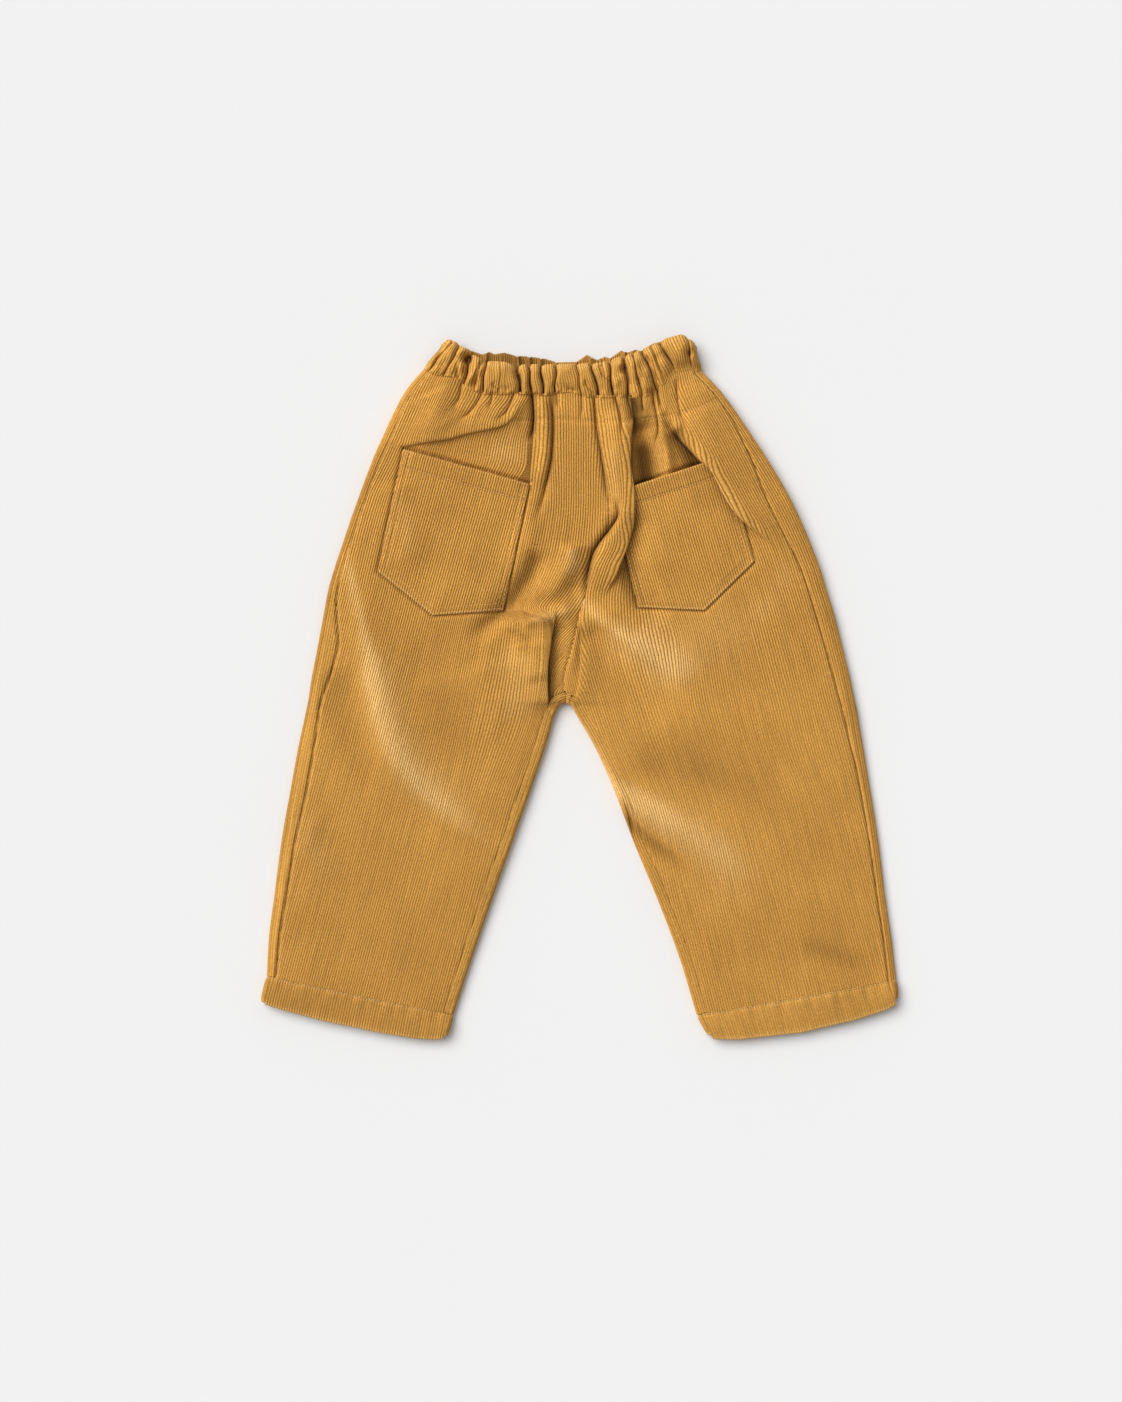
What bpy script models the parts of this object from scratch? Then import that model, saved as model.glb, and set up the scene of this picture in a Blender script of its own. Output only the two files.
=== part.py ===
"""Baby corduroy trousers laid flat, back face up, waist towards +Y, underside flat on Z = 0.

The back panels, pockets and back waist casing lie on top. The front panels lie underneath and wrap
round both edges of each leg on to the back face. Every panel is a thin wall of cloth. Lengths in the
tables are millimetres on the laid-out garment; the meshes are metres.
"""
import math
from collections import namedtuple

import bmesh
import bpy
import numpy as np
from mathutils import Vector
from mathutils.bvhtree import BVHTree

MM = 0.001
CLOTH = 1.3            # one layer of fine corduroy
CASING_WALL = 2.6      # two layers with the elastic between them
HEM_WALL = 2.4         # two layers, turned up and pressed
SEAM_GAP = 0.3         # between pieces that meet at a seam
FLOOR_LAYER = CLOTH / 2  # middle of the front panels, which lie on the surface
CENTRE = (-0.1, 0.0)   # what puts the middle of the built outline on the origin

EDGE_ROUNDNESS = 0.9   # width of a folded edge's curve over its height
WRAP = 3.6             # the least that the front panel comes over the inner leg edge
WIDEST_CELL = 6.5      # between the columns of a back panel at the casing
STRIP_SPARE = 0.6      # the least flat width of the strip between a folded edge and its side seam
CASING_REACH = 5       # sections over which the dip of the casing's seam line fades out
DIP_ENDS = 0.06        # share of a panel's width at each side where the dip grows from nothing
NEAREST_STOP = 2.0     # a groove nearer than this to a panel's side gets no column of its own
ARC_CELLS = 4          # cells round a folded edge
POCKET_CELLS = (9, 8)
POCKET_LIFT = 0.3      # spare room under a pocket, whose cells are coarser than the panel's

MUSTARD = (0.50, 0.26, 0.065, 1.0)
ROUGHNESS = 0.9

# A row for each section across one half, from the waist casing's seam down to the hem's seam.
# strip is how far the side seam lies in from the outer edge.
Section = namedtuple("Section", "outer_x outer_y inner_x inner_y strip")
LEFT_SECTIONS = (
    Section(-99.0, 201.0, 9.0, 183.2, 4.0),
    Section(-110.0, 188.0, 9.4, 175.0, 4.0),
    Section(-118.5, 172.0, 10.0, 166.0, 4.5),
    Section(-124.0, 160.0, 12.0, 156.5, 5.0),
    Section(-129.5, 148.0, 13.6, 147.0, 5.0),
    Section(-134.5, 135.0, 15.4, 136.5, 4.0),
    Section(-140.0, 120.0, 17.6, 124.0, 3.0),
    Section(-145.0, 106.0, 18.6, 110.0, 3.0),
    Section(-150.0, 91.0, 13.5, 94.0, 3.2),
    Section(-155.0, 76.0, 8.0, 78.0, 4.0),
    Section(-159.0, 62.0, 4.0, 62.0, 5.0),
    Section(-162.0, 46.0, 0.0, 45.0, 9.0),
    Section(-165.5, 27.0, -1.0, 27.0, 13.0),
    Section(-169.5, 6.5, 0.0, 7.0, 11.0),
    Section(-172.0, -9.5, -8.3, -9.3, 8.0),
    Section(-173.0, -14.0, -12.0, -11.2, 8.5),
    Section(-174.2, -20.0, -15.4, -17.5, 9.0),
    Section(-177.5, -35.0, -20.4, -35.0, 10.0),
    Section(-182.5, -62.0, -29.6, -62.0, 10.5),
    Section(-188.5, -96.0, -42.2, -98.0, 9.0),
    Section(-193.0, -130.0, -55.0, -134.0, 8.0),
    Section(-196.8, -160.0, -68.0, -172.0, 7.0),
    Section(-198.0, -182.6, -79.6, -207.2, 6.0),
)
RIGHT_SECTIONS = (
    Section(77.5, 200.0, 9.0, 183.2, 4.0),
    Section(89.0, 189.0, 9.4, 175.0, 4.5),
    Section(101.5, 172.0, 10.0, 166.0, 5.0),
    Section(109.5, 160.0, 12.0, 156.5, 7.0),
    Section(117.5, 148.0, 13.6, 147.0, 9.0),
    Section(125.5, 135.0, 15.4, 136.5, 12.0),
    Section(134.0, 120.0, 17.6, 124.0, 14.0),
    Section(140.7, 106.0, 18.6, 110.0, 13.5),
    Section(147.0, 91.0, 13.5, 94.0, 12.5),
    Section(152.8, 76.0, 8.0, 78.0, 11.5),
    Section(157.0, 62.0, 4.0, 62.0, 11.0),
    Section(162.0, 46.0, 0.0, 45.0, 11.0),
    Section(166.8, 27.0, -1.0, 27.0, 10.5),
    Section(171.8, 6.5, 0.0, 7.0, 10.0),
    Section(175.2, -9.5, -8.3, -9.3, 9.0),
    Section(176.2, -14.0, -5.0, -11.2, 9.0),
    Section(177.2, -20.0, -1.4, -17.5, 8.5),
    Section(179.7, -35.0, 8.8, -35.0, 7.5),
    Section(184.2, -62.0, 21.2, -62.0, 5.0),
    Section(189.6, -96.0, 34.8, -98.0, 4.5),
    Section(193.8, -130.0, 49.8, -134.0, 4.0),
    Section(198.2, -160.0, 64.0, -172.0, 3.5),
    Section(201.2, -185.0, 74.6, -207.2, 3.0),
)
CROTCH_ROW = 14        # the first section below which a half is a leg
FRONT_SEAM_TOP_X = -2.5  # the centre front seam at the casing, which the back's folds don't pull aside

# How high the back layer lies above the surface, down the middle of the garment.
Loft = namedtuple("Loft", "y height")
LOFTS = (
    Loft(-215.0, 7.5), Loft(-120.0, 7.6), Loft(-30.0, 8.0), Loft(40.0, 8.8),
    Loft(110.0, 10.0), Loft(150.0, 12.0), Loft(178.0, 12.5), Loft(200.0, 10.0),
)

# Folds that lie like a rounded ridge (positive rise) or trough (negative) along a line.
Fold = namedtuple("Fold", "name width rise route")
FOLDS = (
    Fold("seat_seam_groove", 4.5, -4.5, ((9.6, 176), (13.5, 148), (17.5, 126), (18.5, 112))),
    Fold("seat_seam_hollow", 6.0, -3.0, ((22, 112), (15, 96), (8, 78), (3, 60))),
    Fold("left_pleat_gap", 5.0, -5.0, ((-29, 184), (-28.3, 168), (-31, 156))),
    Fold("dark_hollow", 8.0, -4.5, ((40, 172), (41, 158), (44, 146))),
    Fold("crotch_valley", 6.0, -2.6, ((-26, 81), (-37, 63), (-48, 48), (-63, 36), (-76, 27))),
    Fold("crotch_puff", 8.0, 2.4, ((-3, 84), (-12, 68), (-14, 52))),
    Fold("right_seat_ridge", 5.5, 2.6, ((12, 45), (24, 34), (33, 27), (45, 17))),
    Fold("right_seat_valley", 6.0, -2.2, ((7, 40), (16, 27), (26, 5))),
    Fold("left_leg_ridge", 12.0, 2.2, ((-139, 66), (-130, 18), (-120, -33), (-104, -62), (-76, -90))),
    Fold("right_leg_ridge", 7.0, 2.0, ((21, -62), (44, -78), (64, -95), (83, -104), (115, -110))),
    Fold("right_leg_valley", 6.0, -1.6, ((29, -80), (44, -89), (54, -104), (61, -114))),
)

FADE = 0.18            # share of a fold's length over which it fades out at each end

# Folds whose left side, walking along the line, lies over the right side.
Overlap = namedtuple("Overlap", "name edge reach rise route")
OVERLAPS = (
    Overlap("left_flap", 3.0, 26.0, 3.4, ((-108, 157), (-98, 154), (-76, 159), (-56, 165), (-38, 172))),
    Overlap("centre_panel_edge", 3.0, 14.0, 3.6, ((-24, 113), (-21, 132), (-19.7, 150), (-21, 172))),
    Overlap("seat_strip", 3.0, 15.0, 6.0,
            ((16, 66), (27, 86), (34, 108), (33, 130), (31, 148), (34, 176))),
    Overlap("side_fold", 3.0, 24.0, 4.0,
            ((54, 178), (62, 166), (72, 152), (85, 138), (95, 118), (112, 101))),
    Overlap("leg_over_crotch", 3.0, 12.0, 3.6, ((-18, -6), (-21, 8), (-19, 27), (-16, 43))),
)
UNDERLAP_DEPTH = 0.25  # how far the cloth beside an overlap is pressed down, as a share of its rise

# A row for each groove between two pleats of the back casing.
Groove = namedtuple("Groove", "top_x top_y bottom_x bottom_y depth")
BACK_GROOVES = (
    Groove(-87.0, 216.5, -98.6, 201.8, 0.0),
    Groove(-81.5, 217.0, -93.0, 199.8, 2.6),
    Groove(-76.5, 215.0, -85.5, 198.0, 3.2),
    Groove(-66.5, 210.0, -74.0, 192.0, 4.2),
    Groove(-58.4, 204.4, -61.0, 186.6, 3.4),
    Groove(-39.6, 201.6, -37.0, 185.6, 5.0),
    Groove(-33.0, 201.6, -29.6, 185.6, 4.2),
    Groove(-24.8, 201.6, -22.4, 185.2, 4.2),
    Groove(-14.6, 203.6, -14.4, 185.0, 4.0),
    Groove(-1.0, 203.2, 2.0, 185.0, 4.0),
    Groove(7.8, 203.4, 13.2, 183.2, 3.4),
    Groove(19.0, 203.0, 21.8, 183.4, 4.2),
    Groove(27.6, 207.0, 31.0, 183.6, 4.6),
    Groove(38.8, 211.4, 46.8, 186.0, 3.8),
    Groove(51.4, 216.4, 59.0, 196.0, 4.2),
    Groove(68.6, 221.8, 71.8, 200.0, 3.0),
    Groove(74.4, 214.0, 77.6, 200.4, 0.0),
)
FRONT_TOP_RISE = 4.0   # how far the front casing's top edge stands past the back's in the middle
PLEAT_TOP = 14.2       # middle of the back casing's wall on a pleat
CASING_SIDE = 7.4      # height where the two casings meet at the sides
CASING_PINCH = 3.0     # how far the seam line pulls the casing down
CASING_PUFF = (0.15, 0.85, 0.45)  # down the casing: a sine's start and end in half turns, less the last
PLEAT_SCALLOP = 1.6    # how far a pleat's top stands above its grooves
PLEAT_SQUARENESS = 0.6  # power of the sine across a pleat: below 1 is flatter on top
FRONT_PLEAT = 1.4      # rise of the front casing's flatter pleats
FRONT_SIDE_RISE = (1.0, 0.35, 0.0)  # share of the rise to the side at the front casing's last columns
BACK_CASING_ROWS = (0.0, 0.2, 0.5, 0.8, 1.0)
FRONT_CASING_ROWS = (0.0, 0.5, 1.0)
PLEAT_COLUMNS = 4      # cells across a pleat of the back casing

# Five corners of each pocket: the opening runs from the first to the second.
Pocket = namedtuple("Pocket", "top_outer top_inner low_inner low_point low_outer")
LEFT_POCKET = Pocket((-111, 151), (-31, 129), (-47.6, 49), (-92.7, 45.7), (-127.6, 73.7))
RIGHT_POCKET = Pocket((78, 141.5), (36.5, 127.5), (38.5, 51), (79.4, 49), (111, 79.4))

# The hem ring's lower edge, from its outer corner to its inner corner.
LEFT_HEM_END = (
    (-202.8, -199.5), (-190, -204.2), (-163, -210.8), (-129, -218.4), (-102, -223.0), (-84, -221.8),
)
RIGHT_HEM_END = (
    (203.0, -197.5), (196, -204.2), (173, -210.8), (140, -218.4), (99, -223.0), (81.5, -221.6),
)
HEM_FLARE = 1.6        # how far the hem stands out past the leg at its seam
HEM_COLUMNS = 8        # cells across each face of a hem, between its folded edges
HEM_ROWS = (0.0, 0.12, 0.5, 1.0)


def clear_scene():
    for item in list(bpy.data.objects):
        bpy.data.objects.remove(item)


def cloth_material(name):
    material = bpy.data.materials.new(name)
    material.use_nodes = True
    shader = material.node_tree.nodes["Principled BSDF"]
    shader.inputs["Base Color"].default_value = MUSTARD
    shader.inputs["Roughness"].default_value = ROUGHNESS
    shader.inputs["Metallic"].default_value = 0.0
    return material


def smoothstep(low, high, value):
    share = np.clip((value - low) / (high - low), 0.0, 1.0)
    return share * share * (3.0 - 2.0 * share)


def beside_route(route, x, y):
    """How far along the route the nearest point lies, 0 to 1, and how far off it is, positive on the left."""
    points = np.array(route, float)
    steps = np.diff(points, axis=0)
    lengths = np.linalg.norm(steps, axis=1)
    starts = np.concatenate(([0.0], np.cumsum(lengths)))
    best = np.full(np.shape(x), np.inf)
    along = np.zeros(np.shape(x))
    across = np.zeros(np.shape(x))
    for (px, py), (sx, sy), length, start in zip(points, steps, lengths, starts):
        share = np.clip(((x - px) * sx + (y - py) * sy) / length**2, 0.0, 1.0)
        dx = x - px - share * sx
        dy = y - py - share * sy
        distance = np.hypot(dx, dy)
        side = np.where(sx * dy - sy * dx >= 0.0, 1.0, -1.0)
        nearer = distance < best
        best = np.where(nearer, distance, best)
        along = np.where(nearer, (start + share * length) / starts[-1], along)
        across = np.where(nearer, side * distance, across)
    return along, across


def fading_ends(along):
    return smoothstep(0.0, FADE, along) * smoothstep(1.0, 1.0 - FADE, along)


def back_height(x, y):
    """Height of the middle of the back layer above the surface, in millimetres."""
    height = np.interp(y, [loft.y for loft in LOFTS], [loft.height for loft in LOFTS])
    for fold in FOLDS:
        along, across = beside_route(fold.route, x, y)
        height = height + fold.rise * np.exp(-(across / fold.width) ** 2) * fading_ends(along)
    for lap in OVERLAPS:
        along, across = beside_route(lap.route, x, y)
        over = (1.0 + np.tanh(across / lap.edge)) / 2
        over = over * np.exp(-(np.maximum(across, 0.0) / lap.reach) ** 2)
        under = UNDERLAP_DEPTH * np.exp(-(2 * np.minimum(across, 0.0) / lap.reach) ** 2) * (across < 0.0)
        height = height + lap.rise * (over - under) * fading_ends(along)
    return np.maximum(height, FLOOR_LAYER + CLOTH + 2 * SEAM_GAP)


def outward(points, row, inner_side):
    """The direction in the plane that points out of the garment at one row of an edge."""
    before = points[max(row - 1, 0)]
    after = points[min(row + 1, len(points) - 1)]
    run = np.array(after) - np.array(before)
    run = run / np.linalg.norm(run)
    return np.array((-run[1], run[0])) if inner_side else np.array((run[1], -run[0]))


def casing_seam_y(x):
    """The line where the panels meet the waist casing: it runs from pleat to pleat."""
    stops = [(groove.bottom_x, groove.bottom_y) for groove in BACK_GROOVES]
    return np.interp(x, *zip(*stops))


class Half:
    """One half of the trousers: its sections' edges, and which way is out at each."""

    def __init__(self, sections, side):
        self.sections = sections
        self.side = side
        self.outer = [(section.outer_x, section.outer_y) for section in sections]
        self.inner = [(section.inner_x, section.inner_y) for section in sections]

    def outer_way(self, row):
        way = outward(self.outer, row, False)
        return way if way[0] * self.side > 0 else -way

    def inner_way(self, row):
        """Out of the inner leg edge: towards -Y at the top of the arch between the legs."""
        if row == CROTCH_ROW:
            return np.array((0.0, -1.0))
        way = outward(self.inner, row, True)
        return way if way[0] * self.side < 0 else -way

    def side_seam(self, row):
        """Where the front's strip meets the back panel, clear of the folded edge's curve."""
        corner = np.array(self.outer[row])
        way = self.outer_way(row)
        height = float(back_height(*(corner - way * self.sections[row].strip)))
        curve = EDGE_ROUNDNESS * 0.5 * (height - FLOOR_LAYER)
        return corner - way * max(self.sections[row].strip, curve + STRIP_SPARE)

    def leg_seam(self, row):
        """Where the front's wrap meets the back panel along the inner leg."""
        corner = np.array(self.inner[row])
        corner[0] += self.side * 0.5 * SEAM_GAP * (row == CROTCH_ROW)
        way = self.inner_way(row)
        height = float(back_height(*(corner - way * WRAP)))
        curve = EDGE_ROUNDNESS * 0.5 * (height - FLOOR_LAYER)
        return corner, corner - way * max(WRAP, curve + STRIP_SPARE)

    def seam_point(self, row, front):
        """The centre seam, straight on the front and drawn aside by the seat's fold on the back."""
        x, y = self.inner[row]
        if front:
            share = (self.inner[0][1] - y) / (self.inner[0][1] - self.inner[CROTCH_ROW][1])
            x = FRONT_SEAM_TOP_X + share * (self.inner[CROTCH_ROW][0] - FRONT_SEAM_TOP_X)
        return np.array((x + 0.5 * SEAM_GAP * self.side, y))


def fold_arc(corner, way, low, high, wall):
    """Points round a folded edge, from the underside to the top: (place, height, offset)."""
    rise = 0.5 * (high - low)
    width = EDGE_ROUNDNESS * rise
    points = []
    for step in range(ARC_CELLS + 1):
        angle = math.pi * step / ARC_CELLS
        place = corner + way * width * (math.sin(angle) - 1.0)
        height = low + rise * (1.0 - math.cos(angle))
        offset = np.append(way * math.sin(angle), -math.cos(angle)) * 0.5 * wall
        points.append((np.append(place, height), offset))
    return points


def lying(place, height, wall, upward=1.0):
    return np.append(place, height), np.array((0.0, 0.0, 0.5 * wall * upward))


def closed_wall(name, rows, present, ring=False):
    """A closed body from rows of (middle, offset): an outer skin, an inner skin and the rims."""
    mesh = bpy.data.meshes.new(name)
    build = bmesh.new()
    skins = []
    for sign in (1.0, -1.0):
        skin = {}
        for i, row in enumerate(rows):
            for j, point in enumerate(row):
                if point is not None:
                    place = (point[0] + sign * point[1] + np.array((*CENTRE, 0.0))) * MM
                    skin[i, j] = build.verts.new(place)
        skins.append(skin)
    outer, inner = skins
    edges = {}
    columns = len(rows[0])
    spans = columns if ring else columns - 1
    for i in range(len(rows) - 1):
        for j in range(spans):
            if not present(i, j):
                continue
            after = (j + 1) % columns
            corners = ((i, j), (i, after), (i + 1, after), (i + 1, j))
            build.faces.new([outer[corner] for corner in corners])
            build.faces.new([inner[corner] for corner in reversed(corners)])
            for start, end in zip(corners, corners[1:] + corners[:1]):
                if (end, start) in edges:
                    del edges[end, start]
                else:
                    edges[start, end] = True
    for start, end in edges:
        build.faces.new((outer[end], outer[start], inner[start], inner[end]))
    loose = [vert for vert in build.verts if not vert.link_faces]
    bmesh.ops.delete(build, geom=loose, context="VERTS")
    bmesh.ops.triangulate(build, faces=build.faces[:])
    bmesh.ops.recalc_face_normals(build, faces=build.faces[:])
    build.to_mesh(mesh)
    build.free()
    mesh.shade_smooth()
    mesh.set_sharp_from_angle(angle=math.radians(40))
    body = bpy.data.objects.new(name, mesh)
    bpy.context.collection.objects.link(body)
    mesh.materials.append(cloth_material(name))
    return body


def always(_row, _column):
    return True


class PanelColumns:
    """Where a panel's columns stand, as shares of its width: under the grooves, and between them."""

    def __init__(self, start, end, widest):
        self.start = start.copy()
        self.end = end.copy()
        low, high = sorted((start[0], end[0]))
        inside = [groove.bottom_x for groove in BACK_GROOVES]
        inside = [x for x in inside if low + NEAREST_STOP < x < high - NEAREST_STOP]
        stops = [low, *inside, high]
        places = [low]
        for left, right in zip(stops, stops[1:]):
            cells = max(1, math.ceil((right - left) / widest))
            places.extend(left + (right - left) * step / cells for step in range(1, cells + 1))
        self.shares = sorted((x - start[0]) / (end[0] - start[0]) for x in places)

    def dip(self, share):
        """How far the casing's seam line lies from the straight line across the first section."""
        x, y = self.start + (self.end - self.start) * share
        inside = min(1.0, share / DIP_ENDS, (1.0 - share) / DIP_ENDS)
        return (float(casing_seam_y(x)) - y) * inside


def row_places(row, start, end, columns):
    """Points across a section. The first sections dip as the casing's seam line does."""
    fade = max(0.0, 1.0 - row / CASING_REACH)
    places = []
    for share in columns.shares:
        place = start + (end - start) * share
        place[1] += columns.dip(share) * fade
        places.append(place)
    return places


def back_panel(name, half):
    """From the side seam to the centre seam or the inner leg edge, on top."""
    columns = None
    rows = []
    for index in range(len(half.sections)):
        start = half.side_seam(index) - half.outer_way(index) * SEAM_GAP
        if index < CROTCH_ROW:
            end = half.seam_point(index, front=False)
        else:
            end = half.leg_seam(index)[1] - half.inner_way(index) * SEAM_GAP
        columns = columns or PanelColumns(start, end, WIDEST_CELL)
        places = row_places(index, start, end, columns)
        rows.append([lying(place, float(back_height(*place)), CLOTH) for place in places])
    return closed_wall(name, rows, always)


def front_panel(name, half):
    """The outer strip on top, round the outer edge, flat underneath, and up round the inner leg edge."""
    columns = None
    rows = []
    for index in range(len(half.sections)):
        seam = half.side_seam(index)
        top = float(back_height(*seam))
        outer_arc = fold_arc(np.array(half.outer[index]), half.outer_way(index), FLOOR_LAYER, top, CLOTH)
        row = [lying(seam, top, CLOTH)] + outer_arc[::-1]
        tail = [None] * (ARC_CELLS + 1)
        if index < CROTCH_ROW:
            end = half.seam_point(index, front=True)
        else:
            corner, seam_in = half.leg_seam(index)
            height = float(back_height(*seam_in))
            inner_arc = fold_arc(corner, half.inner_way(index), FLOOR_LAYER, height, CLOTH)
            end = inner_arc[0][0][:2]
            tail = inner_arc[1:] + [lying(seam_in, height, CLOTH)]
        start = outer_arc[0][0][:2]
        columns = columns or PanelColumns(start, end, math.inf)
        for place in row_places(index, start, end, columns)[1:]:
            row.append(lying(place, FLOOR_LAYER, CLOTH, upward=-1.0))
        rows.append(row + tail)

    def present(row, column):
        return all(rows[i][j] is not None for i in (row, row + 1) for j in (column, column + 1))

    return closed_wall(name, rows, present)


def casing_lines(grooves):
    """The casing's top and bottom points across its length, with how much of a pleat stands at each."""
    lines = []
    for left, right in zip(grooves, grooves[1:]):
        for step in range(PLEAT_COLUMNS):
            share = step / PLEAT_COLUMNS
            arch = math.sin(math.pi * share) ** PLEAT_SQUARENESS
            mixed = [a + (b - a) * share for a, b in zip(left, right)]
            lines.append((Groove(*mixed), arch))
    lines.append((grooves[-1], 0.0))
    return lines


def casing_place(line, top_y, down):
    """A point of the casing in the plane, down its width from the top edge to the seam line."""
    x = line.top_x + (line.bottom_x - line.top_x) * down
    return np.array((x, top_y + (line.bottom_y + SEAM_GAP - top_y) * down))


def back_casing(name):
    lines = casing_lines(BACK_GROOVES)
    last = len(lines) - 1
    puff_start, puff_end, puff_less = CASING_PUFF
    seat = CASING_SIDE + SEAM_GAP + CASING_WALL / 2
    rows = []
    for down in BACK_CASING_ROWS:
        puff = math.sin(math.pi * (puff_start + (puff_end - puff_start) * down)) - puff_less
        row = []
        for index, (line, arch) in enumerate(lines):
            place = casing_place(line, line.top_y + PLEAT_SCALLOP * arch, down)
            inward = min(1.0, index / PLEAT_COLUMNS, (last - index) / PLEAT_COLUMNS)
            side = math.sqrt(1.0 - (1.0 - inward) ** 2)
            pleat = PLEAT_TOP - line.depth * (1.0 - arch) + puff - CASING_PINCH * down**3
            row.append(lying(place, seat + (pleat - seat) * side, CASING_WALL))
        rows.append(row)
    return closed_wall(name, rows, always)


def front_casing(name):
    """The front half of the waist, whose columns are twice as wide as the back's."""
    lines = casing_lines(BACK_GROOVES)[::2]
    last = len(lines) - 1
    rows = []
    for down in FRONT_CASING_ROWS:
        row = []
        for index, (line, arch) in enumerate(lines):
            middle = math.sin(math.pi * index / last)
            place = casing_place(line, line.top_y + FRONT_TOP_RISE * middle + PLEAT_SCALLOP * arch, down)
            inward = min(index, last - index, len(FRONT_SIDE_RISE) - 1)
            ripple = FRONT_PLEAT * arch * (1.0 - down) * (inward == len(FRONT_SIDE_RISE) - 1)
            height = CASING_WALL / 2 + FRONT_SIDE_RISE[inward] * (CASING_SIDE - CASING_WALL) + ripple
            row.append(lying(place, height, CASING_WALL, upward=-1.0))
        rows.append(row)
    return closed_wall(name, rows, always)


def pocket_panel(name, pocket, panel):
    """A patch that follows the panel below it, moved out by the seam gap at its highest point nearby."""
    evaluated = panel.evaluated_get(bpy.context.evaluated_depsgraph_get())
    surface = BVHTree.FromObject(evaluated, bpy.context.evaluated_depsgraph_get())
    across, down = POCKET_CELLS
    corners = [np.array(point, float) for point in pocket]
    top_outer, top_inner, low_inner, low_point, low_outer = corners
    turn = np.linalg.norm(low_point - low_outer)
    turn = turn / (turn + np.linalg.norm(low_inner - low_point))
    reach = 0.5 * np.linalg.norm(top_inner - top_outer) / across

    def below(share):
        if share < turn:
            return low_outer + (low_point - low_outer) * share / turn
        return low_point + (low_inner - low_point) * (share - turn) / (1.0 - turn)

    def panel_top(place):
        heights = []
        for dx in (-reach, 0.0, reach):
            for dy in (-reach, 0.0, reach):
                spot = Vector(((place[0] + dx) * MM, (place[1] + dy) * MM, 1.0))
                hit = surface.ray_cast(spot, Vector((0.0, 0.0, -1.0)))
                if hit[0] is not None:
                    heights.append(hit[0].z / MM)
        return max(heights)

    rows = []
    for step in range(down + 1):
        row = []
        for cell in range(across + 1):
            share = cell / across
            top = top_outer + (top_inner - top_outer) * share
            place = top + (below(share) - top) * step / down
            height = panel_top(place) + SEAM_GAP + POCKET_LIFT + 0.5 * CLOTH
            row.append(lying(place, height, CLOTH))
        rows.append(row)
    return closed_wall(name, rows, always)


def hem_face(start, end, route, depth_share):
    """Points across one face of a hem, between its folded edges, bowed as far as its end line is."""
    steps = np.diff(route, axis=0)
    lengths = np.concatenate(([0.0], np.cumsum(np.linalg.norm(steps, axis=1))))
    places = []
    for share in np.linspace(0.0, 1.0, HEM_COLUMNS)[1:-1]:
        end_place = np.array([np.interp(share, lengths / lengths[-1], route[:, axis]) for axis in (0, 1)])
        bow = end_place - route[0] - (route[-1] - route[0]) * share
        places.append(start + (end - start) * share + bow * depth_share)
    return places


def hem_ring(name, half, end_route):
    """A ring of doubled cloth round the leg's end: underneath, up round both edges and over the top."""
    route = np.array(end_route, float)
    outer = np.array(half.outer[-1])
    inner = np.array(half.inner[-1])
    run = (inner - outer) / np.linalg.norm(inner - outer)
    down = np.array((run[1], -run[0])) * (1.0 if run[0] > 0 else -1.0)
    seam_ends = (outer - run * HEM_FLARE + down * SEAM_GAP, inner + run * HEM_FLARE + down * SEAM_GAP)
    low = HEM_WALL / 2
    top = float(back_height(*((outer + inner) / 2))) + (HEM_WALL - CLOTH) / 2
    rows = []
    for depth_share in HEM_ROWS:
        ends = [seam + (lower - seam) * depth_share for seam, lower in zip(seam_ends, (route[0], route[-1]))]
        outer_arc = fold_arc(ends[0], -run, low, top, HEM_WALL)
        inner_arc = fold_arc(ends[1], run, low, top, HEM_WALL)
        left_edge, right_edge = outer_arc[-1][0][:2], inner_arc[-1][0][:2]
        upper = hem_face(left_edge, right_edge, route, depth_share)
        row = list(outer_arc)
        row.extend(lying(place, top, HEM_WALL) for place in upper)
        row.extend(reversed(inner_arc))
        row.extend(lying(place, low, HEM_WALL, upward=-1.0) for place in reversed(upper))
        rows.append(row)
    return closed_wall(name, rows, always, ring=True)


def main():
    clear_scene()
    left = Half(LEFT_SECTIONS, side=-1.0)
    right = Half(RIGHT_SECTIONS, side=1.0)
    back_left = back_panel("back_left", left)
    back_right = back_panel("back_right", right)
    front_panel("front_left", left)
    front_panel("front_right", right)
    back_casing("waistband_back")
    front_casing("waistband_front")
    bpy.context.view_layer.update()
    pocket_panel("pocket_left", LEFT_POCKET, back_left)
    pocket_panel("pocket_right", RIGHT_POCKET, back_right)
    hem_ring("hem_left", left, LEFT_HEM_END)
    hem_ring("hem_right", right, RIGHT_HEM_END)


main()
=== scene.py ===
"""How the baby corduroy trousers look: mustard fine corduroy, laid flat with the back up.

Every panel is a grid whose columns follow the wales, the corduroy's ribs, so that each wale is a real
ridge. Lengths are millimetres in the frame's own axes: X to the right, Y to the waist, Z up.
"""
import math
from collections import namedtuple

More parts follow.
